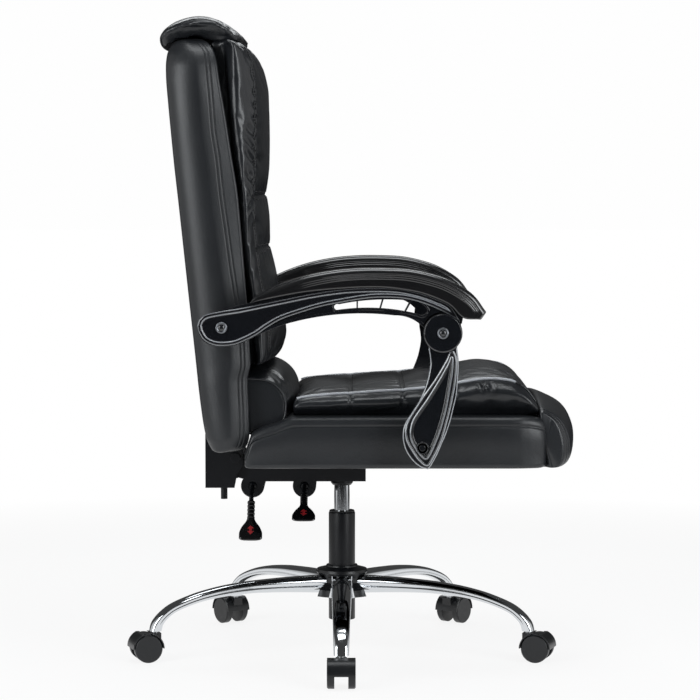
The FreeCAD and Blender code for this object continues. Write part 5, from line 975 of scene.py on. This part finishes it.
# Integral-skin foam: black, smooth and glossy where it was pressed against the mould.
cover_foam, tree, shader, at = finish("integral_skin_polyurethane", {
    "Base Color": linear("#0d0d0f"), "Coat Weight": 1.0, "Coat Roughness": 0.1})
fine = add(tree, "TexVoronoi", {"Scale": 700}, at)
add(tree, "Bump", {"Strength": 0.05, "Distance": 0.0002}, {"Height": (fine, "Distance")},
    [("Normal", shader, "Normal")])
patchy(tree, shader, at, 15, 3, 0.26, 0.36)

# Bright-drawn steel: a plain grey metal, finely hazed, on the hinges' bolts.
bolt_steel, tree, shader, at = finish("bright_steel", {
    "Base Color": linear("#8d9095"), "Metallic": 1.0})
patchy(tree, shader, at, 200, 3, 0.24, 0.4)
rounded(tree, shader, EDGE)
dress(bolt_steel, "rear_bolts", "front_bolt_right", "front_bolt_left")


def nearest(spots, line):
    """Distance from each spot to the nearest stretch of a line."""
    start, run = line[:-1], np.diff(line, axis=0)
    offset = spots[:, None] - start
    share = np.clip((offset * run).sum(-1) / np.maximum((run ** 2).sum(-1), 1e-9), 0, 1)
    return np.linalg.norm(offset - share[..., None] * run, axis=-1).min(1)


def inward(spots, loop):
    """Distance from a loop, below nothing outside it. A spot is inside where a level line from
    it crosses the loop an odd number of times."""
    x, z = spots[:, :1], spots[:, 1:]
    after = np.roll(loop, -1, 0)
    rise = np.where(after[:, 1] == loop[:, 1], 1, after[:, 1] - loop[:, 1])
    meets = loop[:, 0] + (z - loop[:, 1]) * (after[:, 0] - loop[:, 0]) / rise
    inside = (((loop[:, 1] > z) != (after[:, 1] > z)) & (x < meets)).sum(1) % 2 == 1
    return np.where(inside, 1, -1) * nearest(spots, loop)


def rib(distance, width, height=1):
    """A rounded rib: a raised cosine of this height, down to nothing at the width."""
    return height * (1 + np.cos(np.pi * np.minimum(distance / width, 1))) / 2


def ledge(far_in, height):
    """A rib on a loop, read by the distance inward from it: a long flank that faces outward, so
    that it catches the light in one line, and a short one that faces inward."""
    return rib(np.where(far_in < 0, -far_in / 3.0, far_in / 1.3), 1, height)


def step(distance, first, last):
    """Nothing before the first distance, one after the last, smooth between."""
    share = np.clip((distance - first) / (last - first), 0, 1)
    return share * share * (3 - 2 * share)


def plate(name, one, two, near, far, relief, way, columns=64, **fixing):
    """A moulded plate between two side lines in the chair's side view. Its outer edge falls away
    within 2.8 mm of the outline on a quarter of a sine wave. `relief` adds the rest of the height,
    and the share of painted highlight on each point."""
    across = bunched(columns)[:, None]
    face = one[:, None] * (1 - across) + two[:, None] * across
    spots = face.reshape(-1, 2)
    to_edge = nearest(spots, np.vstack([one, two[::-1], one[:1]])[::2])
    fall = 1.7 * (1 - np.sin(np.pi / 2 * np.minimum(to_edge / 2.8, 1)))
    raised, bright = relief(spots, to_edge)
    out = far - fall + raised
    outer = np.concatenate([face, out.reshape(face.shape[:2])[..., None]], -1)
    inner = np.concatenate([face[:, ::-8], near + 0 * face[:, ::-8, :1]], -1)
    x, z, out = np.moveaxis(np.concatenate([outer, inner], 1), -1, 0)
    piece = skin(name, np.stack([x, way * out, z], -1), ribbed, crisp=70, **fixing)
    # Painted highlight share on the outer face's points. The inner face and the two end middles get
    # none.
    value = np.concatenate([bright.reshape(face.shape[:2]), 0 * inner[..., 0]], 1).ravel()
    painted_highlight = piece.data.attributes.new("painted_highlight", "FLOAT", "POINT")
    painted_highlight.data.foreach_set("value", np.append(value, [0, 0]).astype(np.float32))


def about_hinge(name, profile, hinge, way, material, body):
    """A profile of radius and distance from the chair's middle, turned about a hinge."""
    c, s = circle(64)
    radius, out = np.asarray(profile, float).T[..., None]
    grid = np.stack([hinge[0] + radius * c, way * out + 0 * c, hinge[1] + radius * s], -1)
    skin(name, grid, material, body=body)


REAR, FRONT, LOWER = np.array([-203.0, 608]), np.array([172.0, 599]), np.array([138.0, 402])
# Side lines of the link, rear and front, from under the cap down to its tip.
LINK_REAR = ((152, 612), (150, 592), (148, 574), (150, 560), (151, 545), (148, 526), (143, 508),
             (132, 482), (120, 463), (110, 448), (105, 434), (104.5, 420), (107, 405), (113, 392),
             (122, 380), (134, 370), (147, 366))
LINK_FRONT = ((192, 612), (195, 592), (197, 570), (199, 553), (199, 536), (198, 519), (196, 494),
              (191, 472), (186, 451), (179, 429), (169, 405), (161, 387), (152, 371), (147, 366))
# The two ribs that run round its face.
OUTER_RIB = through(((187, 567), (181, 553), (161, 519), (137, 485), (116, 451), (111, 434),
                     (112, 417), (121, 400), (133, 383), (146, 374), (155, 387), (168, 414),
                     (178, 448), (186, 482), (192.5, 519), (193.5, 553)), 200, closed=True)
INNER_RIB = through(((187, 557), (183, 546), (168, 519), (147, 485), (125, 453), (119, 434),
                     (120, 417), (129, 400), (141, 386), (148, 389), (158, 410), (168, 437),
                     (177, 471), (183, 505), (187, 530), (188, 550)), 200, closed=True)


def link_relief(spots, to_edge):
    """Two rounded ribs, a hollow 3 mm deep inside them, a bore round the lower bolt, and a painted
    highlight along the outline and on the flanks of both ribs.
    """
    clear = step(np.linalg.norm(spots - FRONT, axis=1), 34, 37)
    outer, inner = inward(spots, OUTER_RIB), inward(spots, INNER_RIB)
    raised = ledge(outer, 1.5) + ledge(inner, 1.4)
    sunk = 3.2 * step(inner, 1.5, 4.0)
    bore = 9 * (1 - step(np.linalg.norm(spots - LOWER, axis=1), 9, 10.2))
    # Painted highlight: pale shares along the outline and the ribs' outer flanks, where lamps would
    # draw bright lines.
    bright = (0.9 * rib(np.abs(to_edge - 0.9), 1.3) + 0.8 * rib(np.abs(outer + 1.2), 1.5)
              + 0.6 * rib(np.abs(inner + 1.2), 1.4))
    return clear * (raised - sunk) - bore, np.minimum(bright * clear, 1)


# The frame's raised body, from its rear boss forward along the pad: lower line and upper line.
BODY_LOW = ((-244, 612), (-241, 600), (-231, 585.5), (-211, 577.5), (-184, 578.5), (-163, 586),
            (-142.5, 596.5), (-126, 608), (-101.5, 622), (-68, 633.7), (-34.5, 643.6), (7, 651.8),
            (40, 657), (65, 659), (98.5, 658), (123, 653.8), (147.5, 646), (171.5, 635.5),
            (193, 624), (200, 619))
BODY_HIGH = ((-244, 612), (-240, 622), (-229, 630.5), (-203, 636), (-171, 641), (-134, 648.5),
             (-95, 656.5), (-53, 665), (-11, 671.5), (23, 674.5), (65, 675.5), (100, 673.5),
             (133, 666.5), (160, 657), (184, 645), (200, 621))


def body_relief(spots, to_edge):
    """A rim 6.5 mm wide round a face 2.4 mm lower, with a painted highlight along the outer edge
    and the rim's inner edge.
    """
    # Painted highlight: pale shares on the outer edge and on the rim's inner edge.
    bright = 0.4 * rib(np.abs(to_edge - 0.9), 1.2) + 0.85 * rib(np.abs(to_edge - 6.3), 1.3)
    return -2.4 * step(to_edge, 5.2, 7.6), np.minimum(bright, 1)


# The pad's outline as shares of the length between the hinges, along it and square to it.
PAD_TOP = ((0.128, 0.115), (0.145, 0.141), (0.175, 0.161), (0.27, 0.206), (0.38, 0.244),
           (0.5, 0.27), (0.62, 0.283), (0.73, 0.286), (0.84, 0.283), (0.94, 0.265), (1.03, 0.236),
           (1.13, 0.177), (1.188, 0.106))
PAD_UNDER = ((0.128, 0.115), (0.16, 0.125), (0.2, 0.134), (0.33, 0.162), (0.43, 0.178),
             (0.531, 0.189), (0.63, 0.197), (0.73, 0.199), (0.81, 0.192), (0.892, 0.179),
             (0.97, 0.154), (1.03, 0.125), (1.089, 0.071), (1.161, 0.066))
ARM_OUT, ARM_HALF, SHOULDER, ARM_FOOT = 300, 30, 9.5, 3
HINGE_LINE = np.array([FRONT - REAR, (REAR - FRONT)[::-1] * (1, -1)])
above, below = (REAR + through(line, 150) @ HINGE_LINE for line in (PAD_TOP, PAD_UNDER))
tall = np.linalg.norm(above - below, axis=1)[:, None]
direction = (above - below) / np.maximum(tall, 1e-6)
# Round the section from the inner lower edge: quarter circles below and above, the sides between.
round_top, round_foot = np.minimum(SHOULDER, tall * 0.45), np.minimum(ARM_FOOT, tall * 0.2)
c, s = arc(-90, 0, 8)
side_up = shares(44)
out = [ARM_HALF - round_foot * (1 - c), ARM_HALF + 0 * side_up * tall]
up = [round_foot * (1 + s), round_foot + (tall - round_top - round_foot) * side_up]
c, s = arc(0, 90, 18)
out += [ARM_HALF - round_top * (1 - c), (ARM_HALF - round_top) * np.linspace(1, 0, 8)]
up += [tall - round_top * (1 - s), tall + np.zeros(8)]
out, up = np.concatenate(out, 1), np.concatenate(up, 1)
# Three fine ridges run along each side under the shoulder.
drop = tall - up
ridges = sum(rib(np.abs(drop - place), 1.6) for place in (10.5, 14, 17.5))
out = out + (ridges - 0.9) * (drop > 9.4) * np.clip((tall - 24) / 8, 0, 1)
half = np.stack([ARM_OUT + out, up], -1)
other = np.stack([ARM_OUT - out, up], -1)[:, ::-1]
ring = np.concatenate([half, other], 1)
spot = below[:, None] + direction[:, None] * ring[..., 1:]

# Hinge rings and domes: radius and distance from the chair's middle.
BORE_RING = ((8.5, 300), (11.2, 300), (11.2, 309.6), (10.6, 310.4), (9.2, 310.4), (8.5, 309.6),
             (8.5, 300))
HINGES = (("hinge_ring", FRONT, bolt_steel, "link", (
              (6.4, 324), (9.6, 324), (9.8, 327), (9, 328.4), (7.6, 328.8), (6.6, 328),
              (6.4, 324))),
          ("hinge_dome", FRONT, satin, "link", (
              (6.3, 324), (6.3, 327.2), (5.4, 328.4), (3.6, 329.4), (1.6, 329.9), (0.4, 330))),
          ("rear_ring", REAR, bolt_steel, "back", (
              (6, 319), (9.7, 319), (9.8, 321.4), (9, 322.4), (7.4, 322.7), (6.2, 322), (6, 319))),
          ("rear_dome", REAR, satin, "back", (
              (6, 319), (6, 321.4), (5, 322.6), (3.2, 323.4), (0.4, 323.8))))
for hand, way in HANDS:
    link_body = frame["nodes"]["arm_link_%s" % hand]["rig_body"]
    plate("arm_link_face_%s" % hand, through(LINK_REAR, 300), through(LINK_FRONT, 300), 297.3,
          311.3, link_relief, way, columns=140, cad=("arm_link_%s" % hand,))
    about_hinge("link_bore_ring_%s" % hand, BORE_RING, LOWER, way, satin, link_body)
    plate("arm_body_%s" % hand, through(BODY_LOW, 300), through(BODY_HIGH, 300), 314, 319.8,
          body_relief, way, body=frame["nodes"]["arm_frame_%s" % hand]["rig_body"])
    for name, hinge, material, body, profile in HINGES:
        about_hinge("%s_%s" % (name, hand), profile, hinge, way, material,
                    link_body if body == "link" else body)
    grid = np.stack([spot[..., 0], way * ring[..., 0], spot[..., 1]], -1)
    middle, end = grid[-1:].mean(1, keepdims=True), grid[-1:]
    first = grid[:1] * 0.4 + grid[:1].mean(1, keepdims=True) * 0.6
    nose = [middle + (end - middle) * size + np.array([beyond, 0, -beyond * 0.6])
            for size, beyond in ((0.93, 1.5), (0.75, 2.6), (0.4, 3.3))]
    pad = skin("arm_pad_top_%s" % hand, np.concatenate([first, grid, *nose]), cover_foam,
               cad=("arm_pad_%s" % hand,), crisp=60)


# ---------------------------------------------------------------------------------------------
# Studio. A pale floor, soft boxes above and to both sides, and the camera where the photograph
# was taken from. White walls and floor stand at both sides, and mirrors see them.
def mirror_ray(tree):
    """The kind of ray, and whether it comes off a mirror or through glass."""
    ray = add(tree, "LightPath")
    return ray, add(tree, "Math", {"operation": "MAXIMUM"},
                    {0: (ray, "Is Glossy Ray"), 1: (ray, "Is Transmission Ray")})


pale, tree, shader, at = finish("pale_studio_floor", {"Roughness": 0.9, "Specular IOR Level": 0.1})
# The white paper is a roll 2.7 m wide. The camera sees it go on, and mirrors see the dim room.
distance = add(tree, "VectorMath", {"operation": "LENGTH"}, {0: at["Vector"]})
paper = add(tree, "MapRange", {"From Min": 1.3, "From Max": 2.3, "To Min": 1.0, "To Max": 0.0},
            {"Value": (distance, "Value")})
add(tree, "Mix", {"data_type": "RGBA", "A": linear("#262626"), "B": linear("#f6f6f6")},
    {"Factor": (paper, "Result")}, [("Result", shader, "Base Color")])
ray, off_mirror = mirror_ray(tree)
seen = add(tree, "Math", {"operation": "MULTIPLY_ADD", 1: -0.13, 2: 1.0}, {0: (paper, "Result")})
by_camera = add(tree, "Math", {"operation": "MULTIPLY"},
                {0: (seen, "Value"), 1: (ray, "Is Camera Ray")})
bright = add(tree, "Math", {"operation": "MULTIPLY", 1: 0.87}, {0: (paper, "Result")})
# Far out at both sides the floor is white too, and low rays off upright surfaces meet it there.
split = add(tree, "SeparateXYZ", {}, at)
aside = add(tree, "Math", {"operation": "ABSOLUTE"}, {0: (split, "X")})
ahead = add(tree, "Math", {"operation": "ABSOLUTE"}, {0: (split, "Y")})
beyond = add(tree, "Math", {"operation": "MULTIPLY_ADD", 1: -0.9},
             {0: (ahead, "Value"), 2: (aside, "Value")})
wings = add(tree, "MapRange", {"From Min": 1.5, "From Max": 2.5, "To Min": 0.0, "To Max": 0.7},
            {"Value": (beyond, "Value")})
white = add(tree, "Math", {"operation": "MAXIMUM"}, {0: (bright, "Value"), 1: (wings, "Result")})
in_mirror = add(tree, "Math", {"operation": "MULTIPLY"},
                {0: (white, "Value"), 1: (off_mirror, "Value")})
part = add(tree, "Math", {"operation": "MAXIMUM"},
           {0: (by_camera, "Value"), 1: (in_mirror, "Value")})
glow = add(tree, "Emission", {"Color": linear("#ffffff"), "Strength": 1.0})
add(tree, "MixShader", {}, {0: (part, "Value"), 1: (shader, "BSDF"), 2: (glow, "Emission")},
    [("Shader", tree.nodes["Material Output"], "Surface")])
FLOOR = 30000
floor = placed("studio_floor", [(-FLOOR, -FLOOR, 0), (FLOOR, -FLOOR, 0), (FLOOR, FLOOR, 0),
                                (-FLOOR, FLOOR, 0)], [(0, 1, 2, 3)], pale)

world = bpy.data.worlds.new("studio")
scene.world = world
world.use_nodes = True
tree = world.node_tree
ambient = tree.nodes["Background"]
ambient.inputs["Color"].default_value = linear("#ffffff")
ambient.inputs["Strength"].default_value = 0.18
backdrop = add(tree, "Background", {"Color": linear("#fefefe"), "Strength": 1.0})
ray, off_mirror = mirror_ray(tree)
# The walls at both sides are white to a mirror. Ahead and behind, the room is dim.
direction = add(tree, "TexCoord")
split = add(tree, "SeparateXYZ", {}, {"Vector": (direction, "Generated")})
aside = add(tree, "Math", {"operation": "ABSOLUTE"}, {0: (split, "X")})
wall = add(tree, "MapRange", {"From Min": 0.72, "From Max": 0.9, "To Min": 0.06, "To Max": 0.7},
           {"Value": (aside, "Value")})
in_mirror = add(tree, "Math", {"operation": "MULTIPLY"},
                {0: (wall, "Result"), 1: (off_mirror, "Value")})
shown = add(tree, "Math", {"operation": "MAXIMUM"},
            {0: (ray, "Is Camera Ray"), 1: (in_mirror, "Value")})
dark = add(tree, "Background", {"Color": linear("#ffffff"), "Strength": 0.0})
room = add(tree, "MixShader", {},
           {0: (off_mirror, "Value"), 1: (ambient, "Background"), 2: (dark, "Background")})
add(tree, "MixShader", {}, {0: (shown, "Value"), 1: (room, "Shader"), 2: (backdrop, "Background")},
    [("Shader", tree.nodes["World Output"], "Surface")])


def soft_box(name, place, aim, size, power):
    """A rectangular lamp that looks at a point."""
    lamp = bpy.data.lights.new(name, "AREA")
    lamp.shape = "RECTANGLE"
    lamp.size, lamp.size_y = size
    lamp.energy = power
    lamp.color = (0.95, 0.98, 1.0)
    lamp_object = bpy.data.objects.new(name, lamp)
    scene.collection.objects.link(lamp_object)
    lamp_object.location = place
    lamp_object.visible_camera = False
    way = Vector(aim) - Vector(place)
    lamp_object.rotation_euler = way.to_track_quat("-Z", "Y").to_euler()


soft_box("soft_box_top", (0.1, -0.4, 3.2), (0, 0, 0.5), (1.8, 1.2), 30)
soft_box("soft_box_back", (0, 2.6, 2.7), (0, 0, 0.7), (2.6, 0.8), 24)
soft_box("soft_box_left", (-2.3, -2.1, 1.4), (-0.1, 0, 0.7), (1.3, 2.4), 54)
soft_box("soft_box_right", (2.3, -2.2, 1.5), (0.1, 0, 0.7), (1.3, 2.4), 60)

LENS, SENSOR, TILT = 138.9, 36, 4.01
camera_data = bpy.data.cameras.new("camera")
camera_data.sensor_width = SENSOR
camera_data.lens = LENS
camera = bpy.data.objects.new("camera", camera_data)
camera.location = (0.0147, -4.88, 0.89)
camera.rotation_euler = (math.radians(90 - TILT), 0, 0)
scene.collection.objects.link(camera)
scene.camera = camera
scene.view_settings.view_transform = "Standard"
